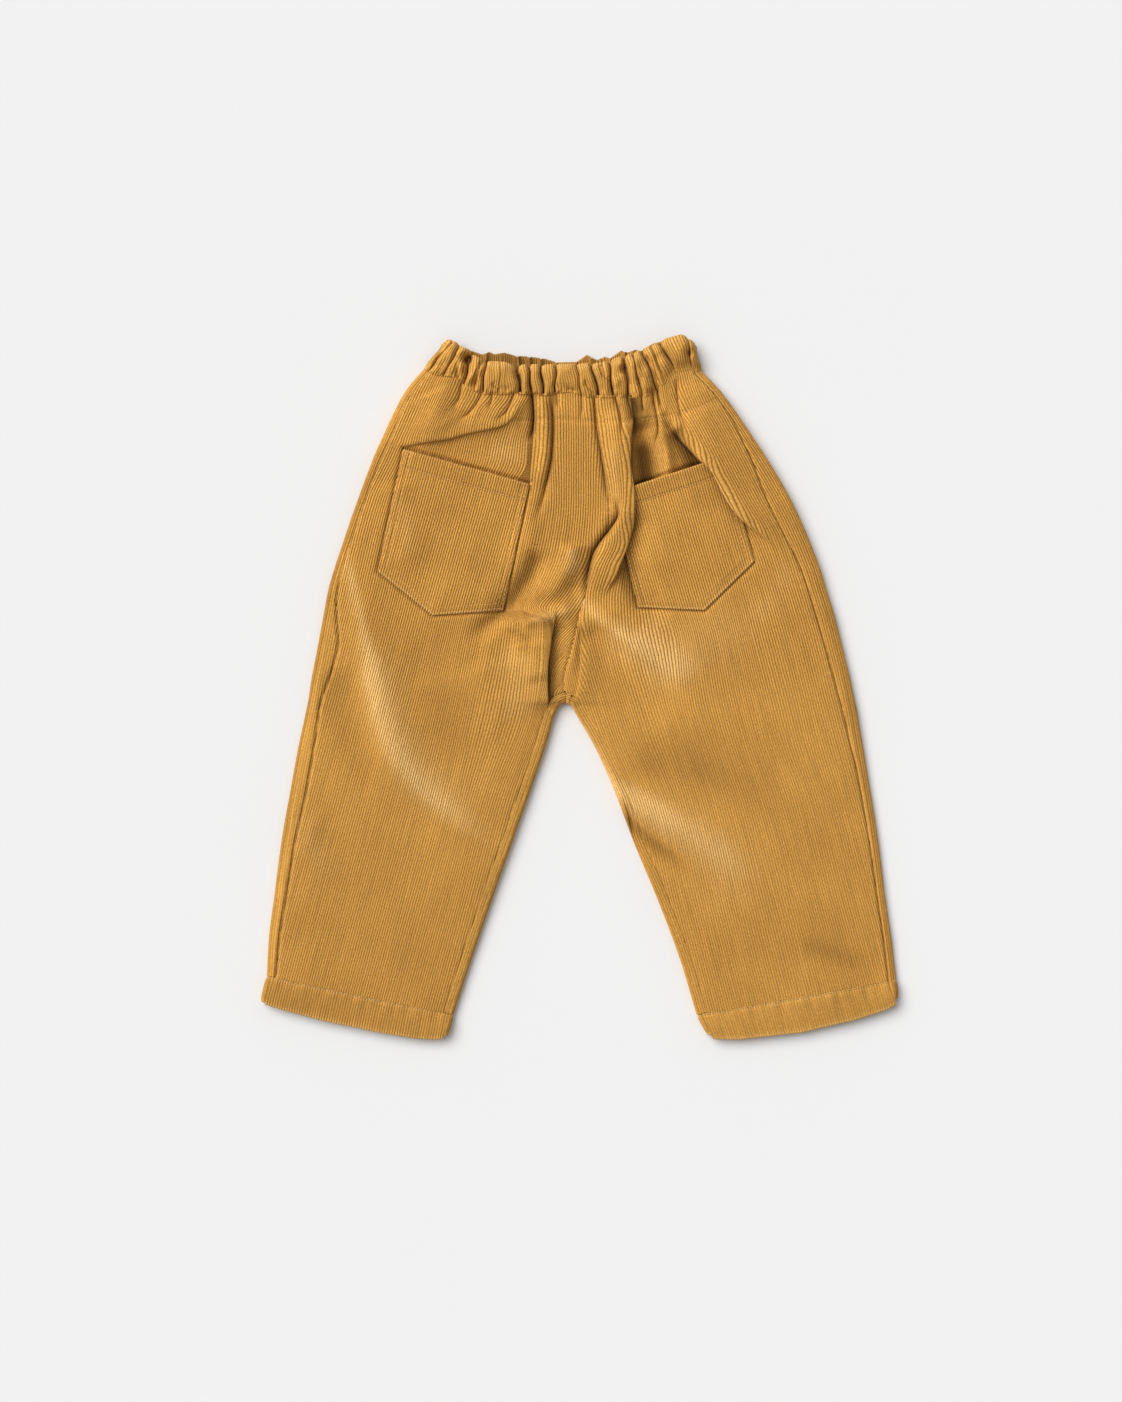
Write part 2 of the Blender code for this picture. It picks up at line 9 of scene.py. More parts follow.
import bpy
import numpy as np
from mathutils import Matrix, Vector


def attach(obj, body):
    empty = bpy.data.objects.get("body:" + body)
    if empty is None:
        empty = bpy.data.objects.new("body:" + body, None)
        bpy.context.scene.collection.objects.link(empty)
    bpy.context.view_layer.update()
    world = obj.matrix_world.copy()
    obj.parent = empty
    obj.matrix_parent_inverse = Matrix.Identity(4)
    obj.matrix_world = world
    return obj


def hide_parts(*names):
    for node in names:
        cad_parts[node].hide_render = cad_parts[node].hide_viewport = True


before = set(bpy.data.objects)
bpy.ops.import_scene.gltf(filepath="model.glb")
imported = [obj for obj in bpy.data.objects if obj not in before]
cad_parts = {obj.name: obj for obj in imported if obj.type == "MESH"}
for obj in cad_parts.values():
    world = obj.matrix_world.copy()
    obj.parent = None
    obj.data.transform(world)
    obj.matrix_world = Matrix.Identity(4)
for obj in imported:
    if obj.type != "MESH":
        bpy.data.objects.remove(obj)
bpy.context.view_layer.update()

MM = 0.001

# ---------------------------------------------------------------- cloth
WALE = 1.5875            # 16 wales to the inch
WALE_RISE = 0.55         # from the valley between two wales to the crest
WALE_PHASES = (0.0, 0.2, 0.5, 0.8)
WALE_SHAPE = (0.0, 0.86, 1.0, 0.86)
SEAM_DEPTH = 0.9         # how far the cloth turns down into a seam
SEAM_WIDTH = 0.9
SEAM_REACH = 6.0
SEAM_PUCKER = 0.28       # height of the small puckers along a sewn seam
SEAM_PUCKERS = 640.0     # their angle from one end of a seam to the other
SEAM_PUCKER_WIDTH = 2.4
CASING_LINE_DEPTH = 0.8  # the second line of casing stitches, as a share of a seam's depth
CASING_LINE_WIDTH = 1.3
BEAD_WEAR_AND_HIGHLIGHT = 0.3          # rubbed beads of pile with a painted highlight, on both sides of the side seams
BEAD_OFFSET = 1.7
BEAD_WIDTH = 0.8
BEAD_REACH = 8.0
SEAM_SHADE = 0.5         # and how much painted shade darkens the seam

# ---------------------------------------------------------------- outline
# A row for each section across one half, from the waist casing's seam down to the hem's seam.
# strip is how far the side seam lies in from the outer edge.
Section = namedtuple("Section", "outer_x outer_y inner_x inner_y strip")
LEFT_SECTIONS = (
    Section(-97.4, 203.2, 9.0, 183.2, 4.0),
    Section(-110.0, 188.0, 9.4, 175.0, 4.0),
    Section(-118.5, 172.0, 10.0, 166.0, 4.5),
    Section(-124.0, 160.0, 12.0, 156.5, 5.0),
    Section(-129.5, 148.0, 13.6, 147.0, 5.0),
    Section(-134.5, 135.0, 15.4, 136.5, 4.5),
    Section(-140.0, 120.0, 17.6, 124.0, 4.5),
    Section(-145.0, 106.0, 18.6, 110.0, 4.5),
    Section(-150.0, 91.0, 13.5, 94.0, 4.6),
    Section(-155.0, 76.0, 8.0, 78.0, 5.0),
    Section(-159.0, 62.0, 4.0, 62.0, 6.0),
    Section(-162.0, 46.0, 0.0, 45.0, 9.0),
    Section(-165.5, 27.0, -1.0, 27.0, 13.0),
    Section(-169.5, 6.5, 0.0, 7.0, 11.0),
    Section(-172.0, -9.5, -8.3, -9.3, 8.0),
    Section(-173.0, -14.0, -12.0, -11.2, 8.5),
    Section(-174.2, -20.0, -15.4, -17.5, 9.0),
    Section(-177.5, -35.0, -20.4, -35.0, 10.0),
    Section(-182.5, -62.0, -29.6, -62.0, 10.5),
    Section(-188.5, -96.0, -42.2, -98.0, 9.0),
    Section(-193.0, -130.0, -55.0, -134.0, 8.0),
    Section(-196.8, -160.0, -68.0, -172.0, 7.0),
    Section(-198.0, -182.6, -79.6, -207.2, 6.0),
)
RIGHT_SECTIONS = (
    Section(75.8, 202.6, 9.0, 183.2, 4.0),
    Section(89.0, 189.0, 9.4, 175.0, 4.5),
    Section(101.5, 172.0, 10.0, 166.0, 5.0),
    Section(109.5, 160.0, 12.0, 156.5, 7.0),
    Section(117.5, 148.0, 13.6, 147.0, 9.0),
    Section(125.5, 135.0, 15.4, 136.5, 12.0),
    Section(134.0, 120.0, 17.6, 124.0, 14.0),
    Section(140.7, 106.0, 18.6, 110.0, 13.5),
    Section(147.0, 91.0, 13.5, 94.0, 12.5),
    Section(152.8, 76.0, 8.0, 78.0, 11.5),
    Section(157.0, 62.0, 4.0, 62.0, 11.0),
    Section(162.0, 46.0, 0.0, 45.0, 11.0),
    Section(166.8, 27.0, -1.0, 27.0, 10.5),
    Section(171.8, 6.5, 0.0, 7.0, 10.0),
    Section(175.2, -9.5, -8.3, -9.3, 9.0),
    Section(176.2, -14.0, -5.0, -11.2, 9.0),
    Section(177.2, -20.0, -1.4, -17.5, 8.5),
    Section(179.7, -35.0, 8.8, -35.0, 7.5),
    Section(184.2, -62.0, 21.2, -62.0, 6.0),
    Section(189.6, -96.0, 34.8, -98.0, 5.5),
    Section(193.8, -130.0, 49.8, -134.0, 5.0),
    Section(198.2, -160.0, 64.0, -172.0, 5.0),
    Section(201.2, -185.0, 74.6, -207.2, 5.0),
)
CROTCH_ROW = 14          # the first section below which a half is a leg
ARCH_SECTIONS = 3        # the sections round the arch between the legs
ARCH_ROWS = 14           # and the grid rows there
FRONT_SEAM_TOP_X = -2.5  # the centre front seam at the casing
EDGE_ROUNDNESS = 0.6     # width of a folded edge's curve over its height
WRAP = 6.6               # how far the front panel comes over the inner leg edge
LEAST_STRIP = 0.4        # the least width of flat cloth beside a folded edge
STRIP_JOIN = 3.0         # how far in from the outer edge the strip reaches the height of the folds
OUTER_SINK = 0.4         # how far the outer folded edge lies below its seam
INNER_SINK = 0.3         # and the inner one

# The seam down the middle of the back, from the casing to the crotch.
CENTRE_SEAM = (
    (9.5, 192.4), (9.5, 175.3), (12.7, 157.5), (14.6, 144.8), (17.1, 127), (19.1, 113), (15.9, 97.2),
    (8.9, 81.3), (3.2, 55.9), (0, 46.4), (-1.9, 36.2), (-5.7, 21), (-9.5, 5.1), (-9.5, -5.1), (-8.3, -15.2),
)

# The second line of stitches across the seat, below the casing. Its threads show over the last stretch.
SHOWN_CASING_LINE = ((38.7, 169.5), (61, 172.7), (76.8, 177.2), (88.3, 182.9))
SECOND_CASING_LINE = (
    (-111.1, 183.5), (-94.6, 180.3), (-78.7, 174.6), (-62.9, 170.8), (-37.5, 168.9),
    (-15.2, 169.9), (13.3, 168.3), *SHOWN_CASING_LINE,
)
LOOSE_THREAD = ((-19.1, 171.1), (-15.9, 169.5), (-12.1, 169.2))

# The waist casing's stitched seam line, from the left side to the right.
CASING_SEAM = (
    (-99.1, 201.9), (-90.2, 197.5), (-79.4, 196.5), (-74.3, 191.8), (-69.8, 188.6), (-61, 185.4),
    (-36.8, 185.4), (-20.6, 184.5), (-6, 187), (5.1, 183.5), (14, 183.3), (31.1, 183.5),
    (40.6, 183.3), (48.9, 186.5), (54.6, 193), (60.3, 199.4), (69.2, 201), (77.5, 200.3),
)

# ---------------------------------------------------------------- wales
# The routes of chosen wales across each back panel, counted from the left half's outer side and from the
# right half's inner leg. The wales between two of them are spread evenly.
WaleLine = namedtuple("WaleLine", "count route")
LEFT_WALES = (
    WaleLine(-24, ((-121.3, 208.3), (-137.8, 185.4), (-149.2, 157.5), (-167, 119.4), (-181, 55.9),
        (-198.1, -7.6), (-215.3, -71.1), (-233, -134.6), (-250.8, -198.1), (-257.8, -223.5))),
    WaleLine(0, ((-85.7, 208.3), (-96.5, 185.4), (-101.6, 173.4), (-108.6, 157.5), (-115.6, 141.6),
        (-126.4, 119.4), (-142.9, 55.9), (-160, -7.6), (-177.2, -71.1), (-194.9, -134.6),
        (-212.3, -198.1), (-219.4, -223.5))),
    WaleLine(30, ((-47, 208.3), (-50.8, 185.4), (-58.4, 173.4), (-64.1, 157.5), (-67.9, 141.6),
        (-80, 119.4), (-95.9, 55.9), (-112.4, -7.6), (-129.5, -71.1), (-147.3, -134.6), (-164.7, -198.1),
        (-171.8, -223.5))),
    WaleLine(38, ((-40, 208.3), (-38.7, 185.4), (-45.1, 173.4), (-50.8, 157.5), (-54.6, 141.6),
        (-67.3, 119.4), (-83.8, 55.9), (-99.7, -7.6), (-116.8, -71.1), (-134.6, -134.6), (-152, -198.1),
        (-159.1, -223.5))),
    WaleLine(43, ((-36.2, 208.3), (-32.4, 185.4), (-36.8, 173.4), (-42.5, 157.5), (-45.7, 141.6),
        (-59.1, 119.4), (-76.8, 55.9), (-92.4, -7.6), (-108.9, -71.1), (-126.7, -134.6),
        (-144.1, -198.1), (-151.1, -223.5))),
    WaleLine(50, ((-32.4, 208.3), (-30.5, 185.4), (-30.2, 173.4), (-32.1, 157.5), (-33, 141.6),
        (-47, 119.4), (-55.9, 90.8), (-67.9, 55.9), (-81.9, -7.6), (-97.8, -71.1), (-115.6, -134.6),
        (-133, -198.1), (-140, -223.5))),
    WaleLine(60, ((-31.1, 208.3), (-29.5, 185.4), (-29.5, 173.4), (-31.1, 157.5), (-32.1, 141.6),
        (-40.6, 119.4), (-47, 90.8), (-53.3, 55.9), (-67.3, -7.6), (-81.9, -71.1), (-99.7, -134.6),
        (-117.1, -198.1), (-124.1, -223.5))),
    WaleLine(63, ((-30.5, 208.3), (-29.2, 185.4), (-29.2, 173.4), (-30.5, 157.5), (-31.8, 141.6),
        (-38.7, 119.4), (-45.1, 90.8), (-50.8, 55.9), (-52.1, 48.3), (-52.7, 39.4), (-62.2, -7.6),
        (-77.5, -71.1), (-94.6, -134.6), (-112.4, -198.1), (-119.4, -223.5))),
    WaleLine(77, ((-28.6, 208.3), (-27.9, 185.4), (-27.9, 173.4), (-29.2, 157.5), (-30.5, 141.6),
        (-32.4, 119.4), (-38.7, 90.8), (-44.5, 62.2), (-47, 49.5), (-29.8, 41.3), (-31.1, 24.1),
        (-33.7, -7.6), (-55.6, -71.1), (-73, -134.6), (-90.2, -198.1), (-97.2, -223.5))),
    WaleLine(82, ((-19.1, 208.3), (-19.1, 185.4), (-18.4, 167), (-19.1, 151.1), (-22.2, 134.6),
        (-25.4, 119.4), (-31.1, 90.8), (-38.7, 62.2), (-42.5, 49.5), (-22.2, 41.9), (-22.9, 24.1),
        (-26, -7.6), (-47.6, -71.1), (-64.8, -134.6), (-82.2, -198.1), (-89.2, -223.5))),
    WaleLine(90, ((-14.6, 208.3), (-14.6, 185.4), (-14, 167), (-14, 134.6), (-14, 119.4), (-17.8, 90.8),
        (-27.9, 62.2), (-35.6, 49.5), (-20.1, 42.5), (-20.1, 24.1), (-20.2, -7.6), (-34.6, -71.1),
        (-52.1, -134.6), (-69.5, -198.1), (-76.5, -223.5))),
    WaleLine(97, ((-3.8, 208.3), (-3.8, 185.4), (-3.2, 157.5), (-3.2, 119.4), (-5.7, 90.8),
        (-17.1, 62.2), (-26, 50.8), (-19.4, 43.8), (-19.6, 24.1), (-19.7, -7.6), (-22.9, -71.1),
        (-40.6, -134.6), (-58.4, -198.1), (-65.4, -223.5))),
    WaleLine(104, ((6.3, 208.3), (6.3, 185.4), (7.6, 157.5), (7.6, 119.4), (5.7, 90.8), (-5.1, 62.2),
        (-15.9, 47.6), (-18.9, 41.9), (-19.2, 24.1), (-19.3, -7.6), (-12.1, -71.1), (-29.8, -134.6),
        (-47.6, -198.1), (-54.6, -223.5))),
    WaleLine(111, ((17.1, 208.3), (17.1, 185.4), (18.4, 157.5), (18.4, 119.4), (17.1, 90.8), (7.6, 62.2),
        (-1.3, 46.4), (-11.4, 36.2), (-17.8, 29.2), (-18.7, 20.3), (-18.4, -7.6), (-1.3, -71.1),
        (-19.1, -134.6), (-36.8, -198.1), (-43.8, -223.5))),
    WaleLine(120, ((31.1, 208.3), (31.1, 185.4), (32.4, 157.5), (32.4, 119.4), (32.4, 90.8),
        (22.2, 62.2), (14, 46.4), (5.7, 36.2), (-4.4, 26), (-15.2, 15.2), (-17.8, 7), (-17.1, -7.6),
        (13.3, -71.1), (-5.1, -134.6), (-22.9, -198.1), (-29.8, -223.5))),
    WaleLine(130, ((47, 208.3), (47, 185.4), (48.3, 157.5), (48.3, 119.4), (48.3, 90.8), (38.7, 62.2),
        (31.1, 46.4), (21, 32.4), (5.7, 17.8), (-9.5, 3.8), (-15.9, -3.8), (-15.9, -10.2), (29.2, -71.1),
        (10.8, -134.6), (-7, -198.1), (-14, -223.5))),
    WaleLine(142, ((66, 208.3), (66, 185.4), (67.3, 157.5), (67.3, 119.4), (67.3, 90.8), (59.1, 62.2),
        (51.4, 46.4), (41.9, 32.4), (28.6, 17.8), (13.3, 3.8), (0.6, -5.7), (-1.9, -10.2), (51.4, -71.1),
        (32.4, -134.6), (14.6, -198.1), (7.6, -223.5))),
)
RIGHT_WALES = (
    WaleLine(-8, ((-21.6, 208.3), (-21.6, 185.4), (-19.1, 157.5), (-14, 119.4), (-15.2, 94),
        (-22.2, 68.6), (-27.3, 43.2), (-19.7, 17.8), (-14.6, -7.6), (-5.7, -33), (10.2, -71.1),
        (26, -134.6), (42.5, -198.1), (48.9, -223.5))),
    WaleLine(2, ((-5.7, 208.3), (-5.7, 185.4), (-3.2, 157.5), (1.9, 119.4), (0.6, 94), (-6.3, 68.6),
        (-11.4, 43.2), (-5.7, 17.8), (0.6, -7.6), (10.2, -33), (26, -71.1), (41.9, -134.6),
        (58.4, -198.1), (64.8, -223.5))),
    WaleLine(12, ((8.3, 208.3), (9.5, 185.4), (12.7, 157.5), (18.4, 119.4), (17.1, 94), (8.9, 74.9),
        (3.8, 55.9), (4.4, 43.2), (10.2, 17.8), (17.8, -7.6), (26, -33), (41.9, -71.1), (57.1, -134.6),
        (73.7, -198.1), (80, -223.5))),
    WaleLine(22, ((24.1, 208.3), (25.4, 185.4), (29.8, 157.5), (32.4, 119.4), (31.8, 94), (25.4, 74.9),
        (21, 55.9), (21.6, 40), (26, 17.8), (33.7, -7.6), (41.9, -33), (57.8, -71.1), (73, -134.6),
        (89.5, -198.1), (95.9, -223.5))),
    WaleLine(30, ((31.1, 208.3), (31.8, 185.4), (31.8, 157.5), (33, 119.4), (34.9, 94), (34.9, 74.9),
        (36.2, 55.9), (37.5, 36.8), (42.5, 17.8), (49.5, -7.6), (57.8, -33), (70.5, -71.1),
        (85.7, -134.6), (102.2, -198.1), (108.6, -223.5))),
    WaleLine(40, ((33.7, 208.3), (33, 185.4), (32.7, 157.5), (33.7, 119.4), (43.2, 94), (48.3, 74.9),
        (53.3, 55.9), (61.6, 30.5), (65.4, -7.6), (73, -33), (86.4, -71.1), (101.6, -134.6),
        (118.1, -198.1), (124.5, -223.5))),
    WaleLine(50, ((36.2, 208.3), (34.9, 185.4), (33.7, 157.5), (34.9, 119.4), (57.8, 94), (67.9, 55.9),
        (75.6, 30.5), (81.9, -7.6), (88.9, -33), (102.2, -71.1), (118.7, -134.6), (135.3, -198.1),
        (142.2, -223.5))),
    WaleLine(60, ((40, 208.3), (39.4, 185.4), (41.9, 157.5), (50.2, 119.4), (72.4, 94), (83.2, 55.9),
        (90.2, 30.5), (98.4, -7.6), (105.4, -33), (118.1, -71.1), (135.9, -134.6), (153, -198.1),
        (160, -223.5))),
    WaleLine(74, ((48.3, 208.3), (48.3, 185.4), (56.5, 157.5), (74.3, 119.4), (91.4, 94), (103.5, 55.9),
        (109.9, 30.5), (120, -7.6), (127, -33), (140.3, -71.1), (157.5, -134.6), (175.3, -198.1),
        (182.2, -223.5))),
    WaleLine(84, ((55.2, 208.3), (59.1, 185.4), (72.4, 157.5), (92.1, 119.4), (107.3, 94), (120, 55.9),
        (127.6, 30.5), (137.8, -7.6), (144.1, -33), (156.2, -71.1), (173.4, -134.6), (191.1, -198.1),
        (198.1, -223.5))),
    WaleLine(98, ((73, 208.3), (81.9, 185.4), (97.2, 157.5), (116.8, 119.4), (130.8, 94), (143.5, 55.9),
        (151.1, 30.5), (160.7, -7.6), (167.6, -33), (178.4, -71.1), (195.6, -134.6), (213.4, -198.1),
        (220.3, -223.5))),
    WaleLine(112, ((95.9, 208.3), (106.7, 185.4), (121.3, 157.5), (140.3, 119.4), (153, 94),
        (165.7, 55.9), (173.4, 30.5), (182.9, -7.6), (189.9, -33), (200.7, -71.1), (217.8, -134.6),
        (235.6, -198.1), (242.6, -223.5))),
)

# ---------------------------------------------------------------- how the cloth lies
# How high the top layer lies above the surface, down the middle of the garment.
Loft = namedtuple("Loft", "y height")
LOFTS = (
    Loft(-230.0, 8.0), Loft(-215.0, 8.0), Loft(-120.0, 8.2), Loft(-30.0, 8.6), Loft(40.0, 9.4),
    Loft(110.0, 10.6), Loft(150.0, 12.2), Loft(178.0, 12.6), Loft(200.0, 11.5), Loft(225.0, 10.5),
)
EDGE_DROOP = 1.8         # how much lower the cloth lies at the outline
EDGE_REACH = 13.0        # how far in from the outline the cloth reaches its full height
SWELLS = (               # a slow unevenness: rise, wavelengths along X and Y, and a start
    (0.3, 170.0, 230.0, 0.4), (0.22, 96.0, -150.0, 2.1),
)

FADE = 0.14              # the least share of a route over which a fold grows at its start

# Soft ridges (positive rise) and troughs (negative): their reach to the left and the right of the route.
Crease = namedtuple("Crease", "name rise left right route tail", defaults=(0.25,))
CREASES = (
    # seat
    Crease("crotch_valley", -5.2, 7, 6, ((-24.1, 88.9), (-29.8, 73.7), (-37.5, 61), (-48.3, 48.3),
        (-61.6, 36.2), (-71.8, 26.7))),
    Crease("crotch_puff", 4.2, 7, 8, ((-4.4, 92.7), (-4.4, 82.5), (-9.5, 71.1), (-16.5, 62.2),
        (-23.5, 54))),
    Crease("puff_shadow", -2.4, 4, 6, ((7, 90.8), (3.2, 78.1), (-1.9, 66), (-8.3, 55.9))),
    Crease("crotch_ridge", 3.0, 5, 4, ((-36.8, 40.6), (-24.8, 43.8), (-17.8, 45.7), (-8.9, 47.9),
        (-0.6, 50.2))),
    Crease("crotch_hollow", -2.0, 7, 3, ((-14, 41.9), (-14, 30.5), (-14, 14.6), (-15.9, -5.1))),
    Crease("left_of_hollow", 2.4, 8, 10, ((-29.8, 30.5), (-28.6, 17.8), (-24.8, 2.5))),
    Crease("under_pocket_dip", -1.8, 7, 8, ((-42.5, 38.1), (-45.1, 26.7), (-48.9, 12.7))),
    Crease("left_pocket_ridge", 2.0, 9, 12, ((-116.2, 133.3), (-112.4, 116.2), (-108.6, 100.3),
        (-106.7, 82.5), (-108.6, 68.6))),
    Crease("left_pocket_side", 2.2, 6, 9, ((-24.1, 127), (-32.4, 94), (-40, 61))),
    Crease("strip_body", 4.4, 9, 8, ((23.5, 181.6), (22.2, 157.5), (22.2, 138.4), (26.7, 119.4),
        (24.8, 106.7), (19.7, 93.3), (14.6, 81.3), (11.4, 68.6), (8.3, 52.1))),
    # right half
    Crease("right_seat_ridge", 4.4, 11, 6, ((4.4, 54.6), (13.3, 45.1), (22.9, 36.8), (33, 29.2),
        (45.1, 20.3), (60.3, 11.4), (79.4, 3.8)), 0.6),
    Crease("right_seat_valley", -2.4, 9, 7, ((2.5, 39.4), (9.5, 30.5), (17.1, 20.3), (27.3, 2.5)), 0.5),
    Crease("pocket_side_valley", -3.6, 9, 8, ((33.7, 111.8), (33.7, 88.9), (36.2, 68.6), (42.5, 53.3),
        (59.1, 41.9))),
    Crease("right_seat_bulge", 1.8, 24, 22, ((54, 24.1), (79.4, 25.4), (106, 40.6), (134, 62.2)), 0.5),
    Crease("dark_recess", -7.5, 8, 8, ((37.5, 171.4), (40.6, 157.5), (43.2, 141), (44.5, 124.5),
        (45.1, 106.7))),
    Crease("narrow_fold", 4.4, 3.6, 4, ((48.3, 180.3), (52.1, 163.8), (55.9, 147.3), (57.1, 129.5),
        (57.1, 111.8))),
    Crease("side_recess", -7.0, 5, 7, ((60.3, 165.1), (67.3, 154.9), (71.8, 144.8), (75.6, 132.1),
        (78.1, 115.6))),
    # legs
    Crease("left_leg_ridge", 4.2, 16, 11, ((-146.1, 81.3), (-140.3, 59.1), (-134, 30.5), (-127.6, -1.3),
        (-120.7, -29.8), (-111.1, -53.3), (-94.6, -72.4), (-71.8, -88.9)), 0.5),
    Crease("left_leg_valley", -1.8, 12, 12, ((-158.1, 12.7), (-151.8, -14), (-140.3, -45.7),
        (-122.6, -73.7)), 0.5),
    Crease("left_leg_behind", -1.8, 20, 16, ((-106, 30.5), (-93.3, -7.6), (-74.3, -45.7),
        (-50.2, -68.6)), 0.5),
    Crease("left_leg_inner", 1.6, 18, 14, ((-69.2, 17.8), (-55.2, -7.6), (-42.5, -33)), 0.5),
    Crease("left_knee", -0.7, 16, 16, ((-177.2, -102.9), (-151.8, -115.6), (-126.4, -121.9)), 0.5),
    Crease("left_low_ridge", 1.3, 10, 10, ((-175.9, -78.7), (-167, -102.9), (-153, -124.5)), 0.5),
    Crease("right_leg_ridge", 4.2, 13, 9, ((0.6, -36.8), (12.1, -53.3), (26, -67.3), (42.5, -77.5),
        (64.1, -88.9), (85.7, -102.9), (106, -119.4), (127.6, -139.7)), 0.6),
    Crease("right_leg_valley", -4.4, 8, 9, ((15.9, -71.1), (27.3, -83.8), (40, -94), (52.7, -106.7),
        (70.5, -124.5)), 0.6),
    Crease("right_leg_above", -1.8, 20, 18, ((32.4, -40.6), (57.8, -50.8), (87, -58.4), (116.2, -71.1),
        (144.1, -94)), 0.5),
    Crease("right_leg_upper", 1.4, 16, 16, ((45.1, -17.1), (70.5, -23.5), (102.2, -21.6), (134, -33)),
        0.5),
    Crease("right_leg_low", -1.8, 10, 13, ((198.8, -185.4), (182.2, -179.1), (163.2, -171.4),
        (134, -158.8)), 0.5),
    Crease("right_leg_low_ridge", 1.4, 9, 9, ((137.8, -175.3), (161.9, -185.4), (183.5, -191.8)), 0.5),
    # below the casing
    Crease("left_yoke", 2.2, 9, 9, ((-94.6, 188), (-88.3, 173.4), (-80.6, 162.6))),
    Crease("left_side_fold", 1.8, 6, 6, ((-80.6, 200.7), (-84.5, 184.2), (-93.3, 170.2), (-106, 157.5))),
    Crease("flap_puff", 1.6, 9, 9, ((-40, 175.3), (-52.7, 168.9), (-69.2, 165.1), (-88.3, 161.3),
        (-106, 157.5))),
    Crease("under_flap", -0.8, 8, 8, ((-37.5, 160), (-52.7, 153.7), (-74.3, 147.3), (-98.4, 147.3))),
    Crease("curl_ridge", 2.6, 4, 4, ((-34.3, 185.4), (-39.4, 175.3), (-43.8, 165.1))),
    Crease("pleat_ridge", 3.0, 3.5, 4.5, ((-26, 185.4), (-22.2, 174), (-20.3, 160), (-21.6, 143.5),
        (-24.8, 125.7))),
    Crease("right_yoke", 2.0, 8, 8, ((70.5, 195.6), (76.8, 179.7), (87, 163.8), (99.1, 147.3)), 0.6),
)

# Soft creases of the front, which lies underneath and is flat between them.
UNDER_CREASES = (
    Crease("left_knee", 1.2, 9.0, 9.0, ((-150, 40), (-110, 10), (-70, -8)), FADE),
    Crease("right_knee", 1.0, 8.0, 8.0, ((140, 60), (110, 25), (60, 10)), FADE),
    Crease("left_calf", 0.9, 8.0, 8.0, ((-160, -60), (-120, -80), (-75, -85)), FADE),
    Crease("right_calf", 1.0, 9.0, 9.0, ((165, -50), (120, -70), (60, -72)), FADE),
    Crease("left_gather", 1.1, 7.0, 7.0, ((-40, 178), (-44, 150), (-60, 118)), FADE),
    Crease("right_gather", 1.1, 7.0, 7.0, ((44, 178), (48, 150), (66, 118)), FADE),
    Crease("fork", 0.9, 6.0, 6.0, ((-2, 60), (-6, 30), (-14, 8)), FADE),
    Crease("left_side", 0.8, 6.0, 6.0, ((-85, 182), (-92, 160), (-108, 140)), FADE),
    Crease("right_side", 0.8, 6.0, 6.0, ((72, 186), (80, 160), (98, 138)), FADE),
)

# Narrow deep grooves: pinch is how far their sides lean in over them.
Groove = namedtuple("Groove", "name depth width pinch route tail", defaults=(0.4,))
GROOVES = (
    Groove("below_g3", 2.4, 2.2, 1.2, ((-73.7, 195.6), (-75.6, 184.2), (-80.6, 175.3))),
    Groove("below_g4", 2.6, 2.0, 1.2, ((-60.3, 190.5), (-62.9, 182.9), (-69.2, 174), (-78.1, 167.6))),
    Groove("ridge_left", 2.0, 1.8, 1.0, ((-54.6, 189.2), (-55.2, 181.6), (-57.8, 175.3))),
    Groove("curl_left", 3.2, 2.0, 1.3, ((-39.4, 190.5), (-42.5, 181.6), (-46.4, 174), (-54, 167.6))),
    Groove("pleat_gap", 9.0, 2.5, 1.3, ((-31.8, 199.4), (-30.5, 189.2), (-29.2, 181.6), (-28.6, 172.7),
        (-29.2, 163.8), (-31.1, 153.7)), 0.3),
    Groove("centre_left_valley", 5.6, 2.8, 1.5, ((-17.8, 190.5), (-16.5, 167), (-17.1, 151.1),
        (-19.7, 134.6), (-24.1, 115.6), (-29.8, 99.1))),
    Groove("side_fold_gap", 3.0, 1.5, 0.8, ((48.9, 174), (54, 167.6), (61.6, 158.8), (70.5, 149.9),
        (78.1, 141), (84.5, 132.1), (90.8, 119.4), (101, 104.1), (113.7, 88.9)), 0.5),
    Groove("tuck_low", 2.4, 1.6, 1.0, ((-14, 188), (-13.3, 182.9), (-12.1, 175.3))),
    Groove("below_g9", 1.8, 1.8, 0.9, ((1.3, 190.5), (1.9, 180.3), (1.3, 167.6))),
    Groove("seam_top", 4.6, 2.2, 1.5, ((9.5, 190.5), (10.2, 176.5), (11.4, 163.8), (14, 148),
        (16.5, 130.8), (18.4, 115.6))),
    Groove("strip_left", 6.4, 2.6, 1.6, ((23.5, 121.9), (24.8, 110.5), (19.7, 100.3), (14, 93.3),
        (8.9, 85.1), (5.7, 72.4), (2.5, 53.3))),
    Groove("below_g11", 5.0, 1.6, 1.0, ((21.6, 191.8), (23.5, 181.6), (26, 172.7), (27.3, 157.5))),
    Groove("below_g12", 6.0, 1.6, 1.0, ((29.8, 190.5), (30.5, 180.3), (30.9, 174), (30, 163.8))),
    Groove("tuck_mid", 5.0, 1.4, 0.9, ((39.4, 188), (40, 180.3), (41.3, 172.7))),
    Groove("tuck_right", 6.0, 1.5, 1.0, ((46.4, 191.8), (47, 181.6), (48.9, 174), (50.2, 163.8),
        (47.6, 149.9))),
    Groove("hole_right", 6.0, 1.5, 0.9, ((49.5, 194.3), (50.2, 186.7), (51.4, 180.3), (53.3, 174))),
    Groove("below_g14", 3.0, 2.0, 1.3, ((61.6, 196.8), (62.2, 185.4), (64.1, 173.4), (70.5, 161.3))),
)

